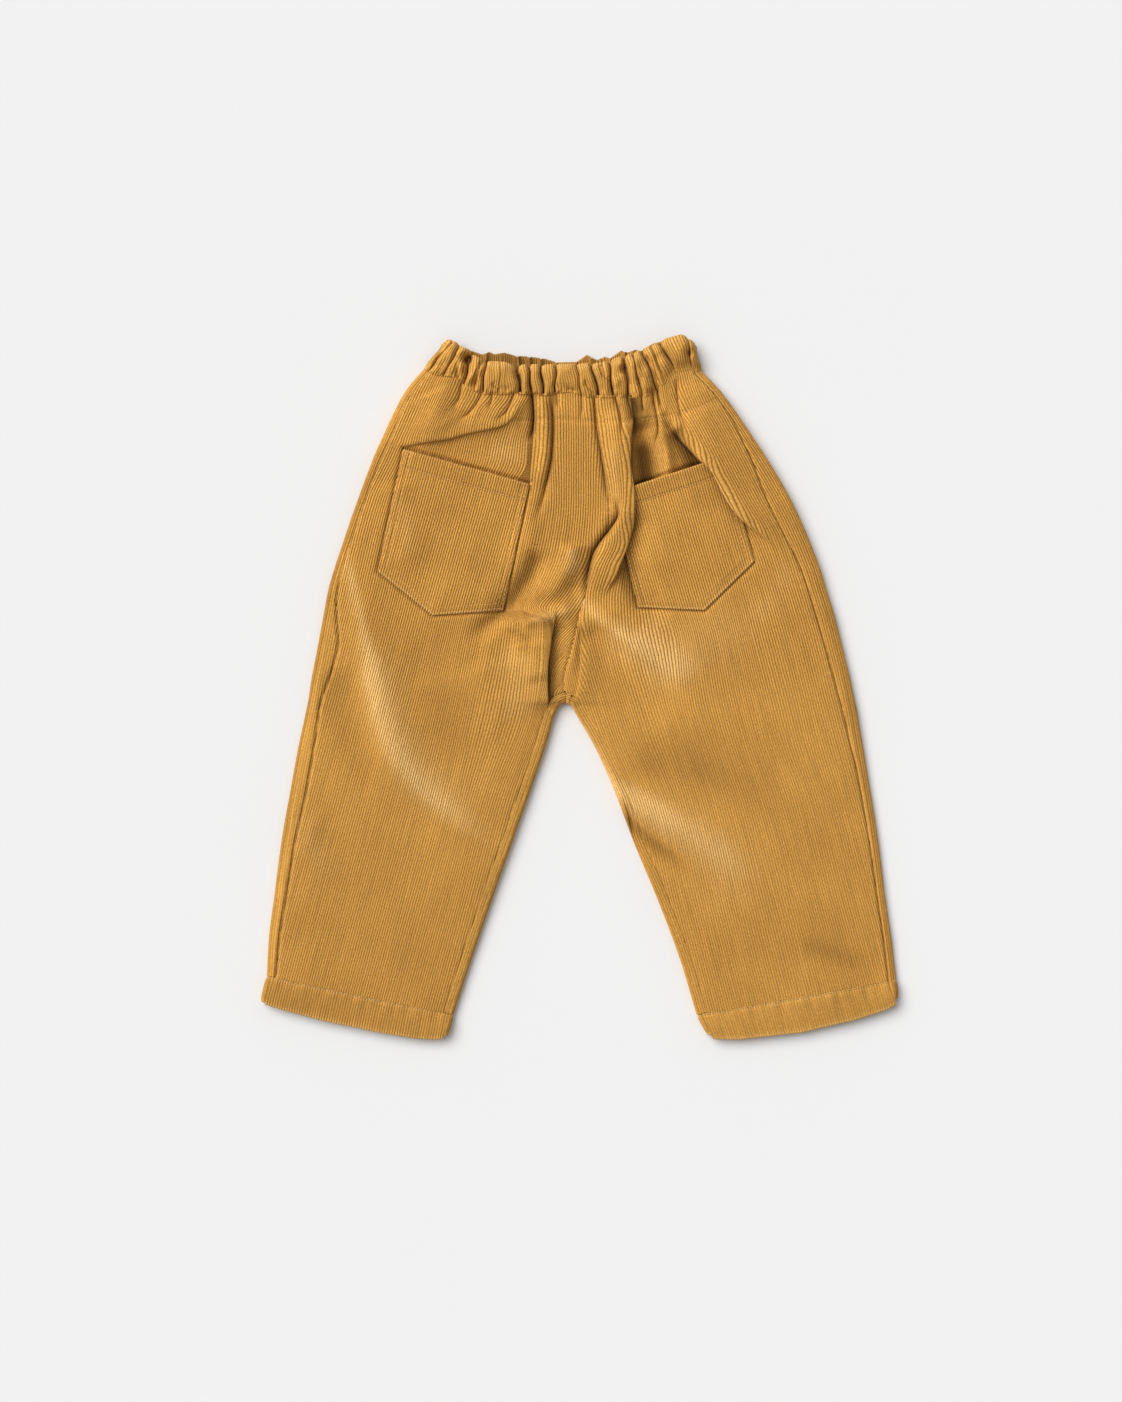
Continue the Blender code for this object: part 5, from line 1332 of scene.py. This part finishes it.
def pocket_patch(pocket):
    """A patch with turned edges, whose wales lean as the panel's do."""
    corners = np.array(pocket_corners(pocket))
    length = abs(pocket.top_outer[1] - pocket.low_point[1]) * POCKET_SLANT
    turned = np.array(POCKET_EDGE_ROWS)
    shares = np.concatenate((turned, np.arange(*POCKET_ROWS), length - turned[::-1])) / length
    sides = ((pocket.top_outer, pocket.low_outer), (pocket.top_inner, pocket.low_inner))
    pitch = WALE * math.hypot(1.0, pocket.lean)
    origin = corners[:, 0].min() - POCKET_MARGIN
    limits = []
    for top, low in sides:
        x = np.full(shares.shape, top[0])
        for _ in range(POCKET_STEPS):
            down = (pocket_row_y(pocket, shares, x) - top[1]) / (low[1] - top[1])
            x = 0.5 * x + 0.5 * (top[0] + (low[0] - top[0]) * down)
        limits.append((x - origin - pocket.lean * pocket_row_y(pocket, shares, x)) / pitch)
    low, high = np.minimum(*limits), np.maximum(*limits)
    columns = wale_columns(low.min(), high.max())
    counts = np.clip(columns, low[:, None], high[:, None])
    grid_shares = np.broadcast_to(shares[:, None], counts.shape)
    y = np.full(counts.shape, corners[:, 1].mean())
    for _ in range(POCKET_STEPS):
        x = origin + counts * pitch + pocket.lean * y
        y = 0.5 * y + 0.5 * pocket_row_y(pocket, grid_shares, x)
    x = origin + counts * pitch + pocket.lean * y
    points = np.stack((x, y, pocket_height(pocket, x, y)), axis=2)
    mouth, sewn = pocket_inset(pocket, x, y)
    # lower edges lighter, rubbed and with a painted highlight, and a rubbed opening
    wear_and_light = POCKET_EDGE_WEAR_AND_HIGHLIGHT * np.exp(-(sewn / 1.3) ** 2) * (pocket_low_edges(pocket, x, y) < 1.6)
    wear_and_light = wear_and_light + POCKET_MOUTH_WEAR * np.exp(-(mouth / 1.2) ** 2)
    # painted highlights and painted shade where the panel's streaks cross the patch
    wear_and_light = wear_and_light + raised(PAINTED_HIGHLIGHTS, x, y) - np.minimum(raised(PAINTED_SHADE, x, y), 1.0)
    first = np.maximum(np.searchsorted(columns, low) - 1, 0)
    last = np.minimum(np.searchsorted(columns, high), len(columns) - 1)
    return grid_piece(pocket.name, points, counts, -y, first, last, wear_and_light=wear_and_light)


def line_y(route, x):
    """Y of a route that runs one way in X, carried on straight past its ends."""
    points = sorted(tuple(point) for point in route)
    xs = np.array([point[0] for point in points])
    ys = np.array([point[1] for point in points])
    index = np.clip(np.searchsorted(xs, x) - 1, 0, len(xs) - 2)
    share = (x - xs[index]) / (xs[index + 1] - xs[index])
    return ys[index] + (ys[index + 1] - ys[index]) * share


# ================================================================ hems
def hem_rows():
    """Down the face, round the rolled lip and up the inside: share down, inset, and reach past the end."""
    lip = 0.5 * HEM_LIP
    rows = [(down, inset, 0.0) for down, inset in HEM_ROWS]
    for step in range(1, HEM_LIP_STEPS + 1):
        angle = math.pi * step / HEM_LIP_STEPS
        rows.append((1.0, 0.15 + lip * (1.0 - math.cos(angle)), lip * math.sin(angle)))
    return rows + [(down, HEM_LIP, 0.0) for down in HEM_INSIDE_ROWS]


def hem_loop(wales):
    """Once round the hem: share of the way across, height from -1 to 1, and how far out on a folded edge."""
    face = HEM_EDGE_SHARE + (1 - 2 * HEM_EDGE_SHARE) * wale_columns(0, wales) / wales
    arc = wale_columns(0, ARC_WALES) / ARC_WALES * math.pi
    loop = [(share, 1.0, 0.0) for share in face]
    loop += [(1.0, math.cos(angle), math.sin(angle)) for angle in arc]
    loop += [(1 - share, -1.0, 0.0) for share in face]
    loop += [(0.0, -math.cos(angle), -math.sin(angle)) for angle in arc]
    return np.array(loop).T


def hem(name, half, end_route):
    """The turned-up hem: a ring round the leg's end with a rolled lip."""
    outer, inner = half.outer[-1], half.inner[-1]
    width = np.linalg.norm(inner - outer)
    run = (inner - outer) / width
    wales = int((width - 2 * HEM_EDGE) / WALE)
    shares, heights, ways = hem_loop(wales)
    start = outer + run * ((width + 2 * HEM_FLARE) * shares - HEM_FLARE)[:, None]
    route = np.array(end_route)
    lengths = lengths_along(route)
    end = np.column_stack([np.interp(shares, lengths / lengths[-1], column) for column in route.T])
    down_way = (end - start) / np.linalg.norm(end - start, axis=1, keepdims=True)
    middle = (outer + inner) / 2
    top = fold_cloth(middle[:1], middle[1:])[2][0] + HEM_PUFF
    radius = top / 2
    fold_width = EDGE_ROUNDNESS * radius
    inward = fold_width * ((shares == 0.0) * 1.0 - (shares == 1.0))
    points = []
    for down, inset, beyond in hem_rows():
        sideways = inward + ways * (fold_width - inset)
        place = start + (end - start) * down + run * sideways[:, None] + down_way * beyond
        points.append(np.column_stack((place, radius + (radius - inset) * heights)))
    points = np.array(points)
    counts = np.broadcast_to(wale_columns(0, 2 * wales + 2 * ARC_WALES), points.shape[:2])
    downs = np.array([down for down, _, _ in hem_rows()])[:, None]
    puckers = np.sin(counts * 0.83) * np.sin(counts * 0.29 + 1.0) * np.exp(-((downs - 0.1) / 0.3) ** 2)
    panel = fold_cloth(points[1, :, 0], points[1, :, 1])[2]
    follow = (panel + HEM_PUFF - top) * smoothstep(0.7, 0.0, downs) * np.maximum(heights, 0.0)
    points[..., 2] += HEM_PUCKER * puckers * (heights > 0.99) + follow
    alongs = lengths_along(points[:, HEM_COLUMN])[:, None]
    # A rubbed rolled end, painted shade over the whole hem, and a painted highlight along its top edge.
    wear_and_light = HEM_END_WEAR * np.exp(-((downs - 1.0) / 0.05) ** 2) - HEM_SHADE
    wear_and_light = wear_and_light + HEM_TOP_HIGHLIGHT * np.exp(-((downs - 0.05) / 0.05) ** 2)
    return grid_piece(name, points, counts, alongs, ring=True, wear_and_light=wear_and_light, out=-half.side)


# ================================================================ threads
def stitches(name, lines, surface, length=STITCH, pitch=STITCH_PITCH):
    """Sewing stitches along lines on the cloth, each a short rounded thread sunk at its ends."""
    away, thickness, rise = np.array(STITCH_RINGS).T
    rows = []
    for line in lines:
        route = rounded_route(line, 0.5)
        lengths = lengths_along(route)
        starts = np.arange(0.5 * pitch, max(lengths[-1] - 0.4 * length, 0.6 * pitch), pitch)
        along = starts[:, None] + length * away
        rows.append((np.interp(along, lengths, route[:, 0]), np.interp(along, lengths, route[:, 1]), along))
    x, y, along = (np.concatenate(values) for values in zip(*rows))
    x, y, z = surface(x, y)
    run = np.stack((x[:, -1] - x[:, 0], y[:, -1] - y[:, 0]), axis=1)
    run = run / np.maximum(np.linalg.norm(run, axis=1, keepdims=True), 1e-6)
    turn = 2 * math.pi * np.arange(THREAD_SIDES) / THREAD_SIDES
    off = THREAD_RADIUS * thickness
    points = np.zeros(x.shape + (THREAD_SIDES, 3))
    points[..., 0] = x[..., None] - run[:, 1:2, None] * off[:, None] * np.cos(turn)
    points[..., 1] = y[..., None] + run[:, 0:1, None] * off[:, None] * np.cos(turn)
    points[..., 2] = (z + rise)[..., None] + off[:, None] * np.sin(turn)
    index = np.arange(points[..., 0].size).reshape(points.shape[:3])
    following = np.roll(index, -1, axis=2)
    a, b, c, d = index[:, :-1], following[:, :-1], following[:, 1:], index[:, 1:]
    triangles = np.concatenate((np.stack((a, d, b), axis=-1), np.stack((b, d, c), axis=-1))).reshape(-1, 3)
    values = {"along": np.repeat(along.reshape(-1), THREAD_SIDES)}
    return mesh_piece(name, points.reshape(-1, 3), triangles, values)


def on_panel(x, y):
    """Where a thread lies on the back panels."""
    dx, dy, z = fold_cloth(x, y)
    return x + dx, y + dy, z - 0.1


def on_hem_line(x, y):
    """Where a hem's thread lies, raised onto the edge of the hem."""
    x, y, z = on_panel(x, y)
    return x, y, z + HEM_STITCH_RISE


def on_pocket(pocket, lift):
    """Where a thread lies on a pocket's patch."""
    def surface(x, y):
        return x, y, pocket_height(pocket, x, y) + lift
    return surface


def inset_line(start, end, others, inset, trim):
    """A line moved in from an edge of a pocket, and shortened at both ends."""
    start, end = np.array(start, float), np.array(end, float)
    run = (end - start) / np.linalg.norm(end - start)
    normal = np.array((-run[1], run[0]))
    if np.dot(np.mean(others, axis=0) - start, normal) < 0:
        normal = -normal
    return tuple(start + run * trim + normal * inset), tuple(end - run * trim + normal * inset)


def pocket_stitches(pocket):
    """Two rows round the sewn edges, and one that holds the hem of the opening."""
    corners = pocket_corners(pocket)
    lines = []
    for inset in POCKET_STITCHES:
        for start, end in zip(corners, corners[1:]):
            lines.append(inset_line(start, end, corners, inset, inset * 0.8))
    lines.append(inset_line(pocket.top_outer, pocket.top_inner, corners, POCKET_HEM, 1.0))
    name = pocket.name.replace("patch", "stitches")
    return stitches(name, lines, on_pocket(pocket, STITCH_LIFT))


def bar_tacks(pocket):
    """The dense short bars that hold the two ends of a pocket's opening."""
    run = np.subtract(pocket.top_inner, pocket.top_outer)
    run = run / np.linalg.norm(run)
    down = np.array((run[1], -run[0]))
    lines = []
    for corner, way in ((pocket.top_outer, run), (pocket.top_inner, -run)):
        for step in range(BAR_ROWS):
            start = np.array(corner) + down * (BAR_INSET + BAR_GAP * step) + way * BAR_START
            lines.append((tuple(start), tuple(start + way * BAR_LENGTH)))
    name = pocket.name.replace("patch", "bars")
    return stitches(name, lines, on_pocket(pocket, 2 * STITCH_LIFT), BAR_STITCH, BAR_PITCH)


def hem_stitches(name, half):
    """The line that holds the hem up, just on the leg's side of its fold."""
    outer, inner = half.outer[-1], half.inner[-1]
    run = (inner - outer) / np.linalg.norm(inner - outer) * HEM_LINE_END
    down = np.array((0.0, -HEM_LINE))
    start = outer + run + down
    end = inner - run + down
    return stitches(name, [(start, (start + end) / 2, end)], on_hem_line)


# ================================================================ materials
def node(tree, kind, **settings):
    """A new shader node with some of its settings."""
    made = tree.nodes.new(kind)
    for key, value in settings.items():
        setattr(made, key, value)
    return made


def math_node(tree, operation, a, b=None, clamp=False):
    """One sum of two numbers or outputs."""
    made = node(tree, "ShaderNodeMath", operation=operation, use_clamp=clamp)
    for socket, value in zip(made.inputs, (a, b)):
        if value is None:
            continue
        if isinstance(value, (int, float)):
            socket.default_value = value
        else:
            tree.links.new(value, socket)
    return made.outputs[0]


def mix_colour(tree, share, a, b, blend="MIX"):
    """Two colours or outputs, mixed."""
    made = node(tree, "ShaderNodeMix", data_type="RGBA", blend_type=blend)
    inputs = [made.inputs[0], made.inputs[6], made.inputs[7]]
    for socket, value in zip(inputs, (share, a, b)):
        if isinstance(value, (int, float, tuple)):
            socket.default_value = value
        else:
            tree.links.new(value, socket)
    return made.outputs[2]


def attribute(tree, name):
    """A value that the cloth's points carry."""
    return node(tree, "ShaderNodeAttribute", attribute_name=name).outputs["Fac"]


def noise(tree, vector, scale, detail=2.0, roughness=0.5):
    """Cloudy noise from 0 to 1."""
    made = node(tree, "ShaderNodeTexNoise")
    made.inputs["Scale"].default_value = scale
    made.inputs["Detail"].default_value = detail
    made.inputs["Roughness"].default_value = roughness
    tree.links.new(vector, made.inputs["Vector"])
    return made.outputs["Fac"]


def ranged(tree, value, low, high, to_low, to_high):
    """A value moved from one range to another."""
    made = node(tree, "ShaderNodeMapRange")
    made.inputs["From Min"].default_value = low
    made.inputs["From Max"].default_value = high
    made.inputs["To Min"].default_value = to_low
    made.inputs["To Max"].default_value = to_high
    tree.links.new(value, made.inputs["Value"])
    return made.outputs["Result"]


def product(tree, first, *others):
    """Several levels, multiplied."""
    for other in others:
        first = math_node(tree, "MULTIPLY", first, other)
    return first


def stretched(tree, across, across_scale, along, along_scale):
    """A place in the cloth's own pattern, for noise that is longer one way than the other."""
    made = node(tree, "ShaderNodeCombineXYZ")
    tree.links.new(math_node(tree, "MULTIPLY", across, across_scale), made.inputs["X"])
    tree.links.new(math_node(tree, "MULTIPLY", along, along_scale), made.inputs["Y"])
    return made.outputs[0]


def shaded(tree, colour, level):
    """A colour made darker or lighter by a level."""
    grey = node(tree, "ShaderNodeCombineColor")
    for socket in grey.inputs:
        tree.links.new(level, socket)
    return mix_colour(tree, 1.0, colour, grey.outputs[0], blend="MULTIPLY")


def bump(tree, shader, height, strength, distance):
    """Fine relief: distance is in metres."""
    made = node(tree, "ShaderNodeBump")
    made.inputs["Strength"].default_value = strength
    made.inputs["Distance"].default_value = distance
    tree.links.new(height, made.inputs["Height"])
    tree.links.new(made.outputs["Normal"], shader.inputs["Normal"])


def new_material(name):
    """A material with its tree of nodes, its shader and its place on the piece."""
    material = bpy.data.materials.new(name)
    material.use_nodes = True
    tree = material.node_tree
    place = node(tree, "ShaderNodeTexCoord").outputs["Object"]
    return material, tree, tree.nodes["Principled BSDF"], place


def wale_valleys(tree, wale, place):
    """1 in the valleys between the wales and 0 on them, with edges that wander a little."""
    wander = ranged(tree, noise(tree, place, 260.0, 2.0), 0.25, 0.75, -0.11, 0.11)
    phase = math_node(tree, "FRACT", math_node(tree, "ADD", wale, wander))
    off_crest = math_node(tree, "ABSOLUTE", math_node(tree, "SUBTRACT", phase, 0.5))
    return ranged(tree, off_crest, 0.24, 0.44, 0.0, 1.0)


def worn_and_painted_light_colour(tree, valley, wear_and_light, up):
    """Deep between the wales, partly painted shade; lighter with rubbed pile and painted highlights; deeper
    with painted shade.
    """
    depth = ranged(tree, up, -0.04, 0.06, 0.38, 0.8)
    colour = mix_colour(tree, math_node(tree, "MULTIPLY", valley, depth), RIDGE, VALLEY)
    lighter = math_node(tree, "MULTIPLY", wear_and_light, math_node(tree, "SUBTRACT", 1.0, valley), clamp=True)
    colour = mix_colour(tree, lighter, colour, WORN_AND_HIGHLIGHT)
    deeper = math_node(tree, "MULTIPLY", wear_and_light, -PAINTED_SHADE_STRENGTH, clamp=True)
    return mix_colour(tree, deeper, colour, PAINTED_SHADE_COLOUR)


def corduroy():
    """Cut pile in wales: dark between them, partly painted shade; tufted along them; lighter where rubbed;
    painted light and shade.
    """
    material, tree, shader, place = new_material("mustard_corduroy")
    wale, along, wear_and_light, nap = (attribute(tree, name) for name in ("wale", "along", "wear_and_light", "nap"))
    valley = wale_valleys(tree, wale, place)
    tufts = noise(tree, stretched(tree, wale, 2.0, along, 0.8), 1.0, 3.0, 0.6)
    streaks = noise(tree, stretched(tree, wale, 1.0, along, 0.03), 0.9, 2.0)
    cloudy = noise(tree, place, 28.0, 3.0)
    fine = noise(tree, place, 900.0, 2.0)
    axes = node(tree, "ShaderNodeSeparateXYZ")
    tree.links.new(place, axes.inputs[0])
    up = axes.outputs["Y"]
    level = product(
        tree,
        ranged(tree, tufts, 0.3, 0.7, 0.76, 1.2),
        ranged(tree, streaks, 0.3, 0.7, 0.9, 1.1),
        ranged(tree, cloudy, 0.3, 0.7, 0.93, 1.07),
        ranged(tree, fine, 0.3, 0.7, 0.92, 1.08),
        # painted light: lighter where the surface faces the key light's side
        ranged(tree, nap, -0.5, 0.5, 0.8, 1.2),
        # painted light: darker towards the hems, lighter at the seat
        ranged(tree, up, -0.19, 0.09, 0.9, 1.03),
    )
    tree.links.new(shaded(tree, worn_and_painted_light_colour(tree, valley, wear_and_light, up), level), shader.inputs["Base Color"])
    tree.links.new(ranged(tree, tufts, 0.3, 0.7, 0.95, 0.8), shader.inputs["Roughness"])
    shader.inputs["Sheen Weight"].default_value = 0.22
    shader.inputs["Sheen Roughness"].default_value = 0.45
    shader.inputs["Sheen Tint"].default_value = SHEEN
    shader.inputs["Specular IOR Level"].default_value = 0.15
    height = math_node(tree, "ADD", tufts, math_node(tree, "MULTIPLY", fine, 0.5))
    height = math_node(tree, "SUBTRACT", height, math_node(tree, "MULTIPLY", valley, 0.8))
    bump(tree, shader, height, 0.6, 0.0004)
    return material


def thread():
    """Twisted sewing thread, a little lighter than the cloth."""
    material, tree, shader, place = new_material("sewing_thread")
    twist = math_node(tree, "SINE", math_node(tree, "MULTIPLY", attribute(tree, "along"), 14.0))
    worn = noise(tree, place, 700.0, 2.0)
    level = math_node(tree, "ADD", math_node(tree, "MULTIPLY", twist, 0.12), worn)
    colour = mix_colour(tree, math_node(tree, "MULTIPLY", level, 0.6, clamp=True), THREAD, WORN_AND_HIGHLIGHT)
    tree.links.new(colour, shader.inputs["Base Color"])
    tree.links.new(ranged(tree, worn, 0.3, 0.7, 0.6, 0.75), shader.inputs["Roughness"])
    shader.inputs["Specular IOR Level"].default_value = 0.3
    bump(tree, shader, twist, 0.4, 0.0001)
    return material


def floor_material():
    """A pale, nearly even surface."""
    material, tree, shader, place = new_material("pale_floor")
    level = ranged(tree, noise(tree, place, 6.0, 2.0), 0.3, 0.7, 0.995, 1.0)
    tree.links.new(shaded(tree, FLOOR, level), shader.inputs["Base Color"])
    shader.inputs["Roughness"].default_value = 0.9
    shader.inputs["Specular IOR Level"].default_value = 0.1
    return material


# ================================================================ studio
PHOTO_SIZE = (1122, 1402)
PHOTO_SCALE = 0.635 * MM   # metres to a pixel of the photograph, on the surface that the garment lies on
PHOTO_CENTRE = (-11.4 * MM, -8.3 * MM)
LENS = 100.0
SENSOR = 36.0
SUN_STRENGTH = 2.6
SUN_WIDTH = 46.0
SUN_FROM = (-0.56, 0.44, 0.92)
SKY = 0.42
FLOOR_HALF = 12.0          # metres
FLOOR_DROP = 0.0002        # how far the floor lies below the cloth, so that the two don't meet
FAR = 20.0                 # how far the camera sees, in metres


def camera():
    """Straight above the garment, with the photograph's field of view."""
    data = bpy.data.cameras.new("camera")
    data.lens = LENS
    data.sensor_width = SENSOR
    data.sensor_fit = "AUTO"
    height = PHOTO_SIZE[1] * PHOTO_SCALE * LENS / SENSOR
    data.clip_end = FAR
    made = bpy.data.objects.new("camera", data)
    made.location = (*PHOTO_CENTRE, height)
    bpy.context.collection.objects.link(made)
    bpy.context.scene.camera = made


def floor():
    """The wide pale surface that the garment lies on."""
    mesh = bpy.data.meshes.new("floor")
    corners = [(x * FLOOR_HALF, y * FLOOR_HALF, 0) for x, y in ((-1, -1), (1, -1), (1, 1), (-1, 1))]
    mesh.from_pydata(corners, [], [(0, 1, 2, 3)])
    mesh.materials.append(floor_material())
    made = bpy.data.objects.new("floor", mesh)
    made.location.z = -FLOOR_DROP
    bpy.context.collection.objects.link(made)


def soft_light():
    """A broad light from the upper left, and an even white room."""
    sun = bpy.data.lights.new("key", "SUN")
    sun.energy = SUN_STRENGTH
    sun.angle = math.radians(SUN_WIDTH)
    key = bpy.data.objects.new("key", sun)
    key.rotation_euler = Vector(SUN_FROM).to_track_quat("Z", "Y").to_euler()
    bpy.context.collection.objects.link(key)
    world = bpy.data.worlds.new("soft_room")
    world.use_nodes = True
    background = world.node_tree.nodes["Background"]
    background.inputs["Color"].default_value = (1.0, 1.0, 1.0, 1.0)
    background.inputs["Strength"].default_value = SKY
    bpy.context.scene.world = world
    bpy.context.scene.view_settings.view_transform = "Standard"


# ================================================================ the garment
def dress(piece, material, *nodes):
    """Gives a piece its cloth, hangs it on the root body, and hides the solids it stands in for."""
    piece.data.materials.append(material)
    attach(piece, "root")
    if nodes:
        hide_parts(*nodes)
    return piece


def main():
    """Every piece, its cloth, and how it lies."""
    camera()
    floor()
    soft_light()
    cloth = corduroy()
    sewing = thread()
    back_left = dress(back_panel("back_left_panel", LEFT, LEFT_WALES), cloth, "back_left")
    back_right = dress(back_panel("back_right_panel", RIGHT, RIGHT_WALES), cloth, "back_right")
    front_left = dress(front_panel("front_left_panel", LEFT), cloth, "front_left")
    front_right = dress(front_panel("front_right_panel", RIGHT), cloth, "front_right")
    casing_back = dress(casing("waist_casing_back", CASING_TOP, True), cloth, "waistband_back")
    casing_front = dress(casing("waist_casing_front", FRONT_CASING_TOP, False), cloth, "waistband_front")
    patches = [dress(pocket_patch(pocket), cloth, pocket.node) for pocket in POCKETS]
    hem_left = dress(hem("hem_left_ring", LEFT, HEM_END_LEFT), cloth, "hem_left")
    hem_right = dress(hem("hem_right_ring", RIGHT, HEM_END_RIGHT), cloth, "hem_right")
    pocket_threads = [dress(pocket_stitches(pocket), sewing) for pocket in POCKETS]
    pocket_bars = [dress(bar_tacks(pocket), sewing) for pocket in POCKETS]
    hem_threads = [dress(hem_stitches("hem_left_stitches", LEFT), sewing),
                   dress(hem_stitches("hem_right_stitches", RIGHT), sewing)]
    casing_thread = dress(stitches("casing_stitches", [SHOWN_CASING_LINE], on_panel), sewing)
    loose = stitches("loose_thread", [LOOSE_THREAD], on_panel, LOOSE_STITCH, LOOSE_PITCH)
    loose_thread = dress(loose, sewing)
    pockets = zip(patches, POCKET_CUTS, POCKET_AREAS, (back_left, back_right), pocket_threads, pocket_bars)
    for patch, cut, area, under, threads, bars in pockets:
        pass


main()
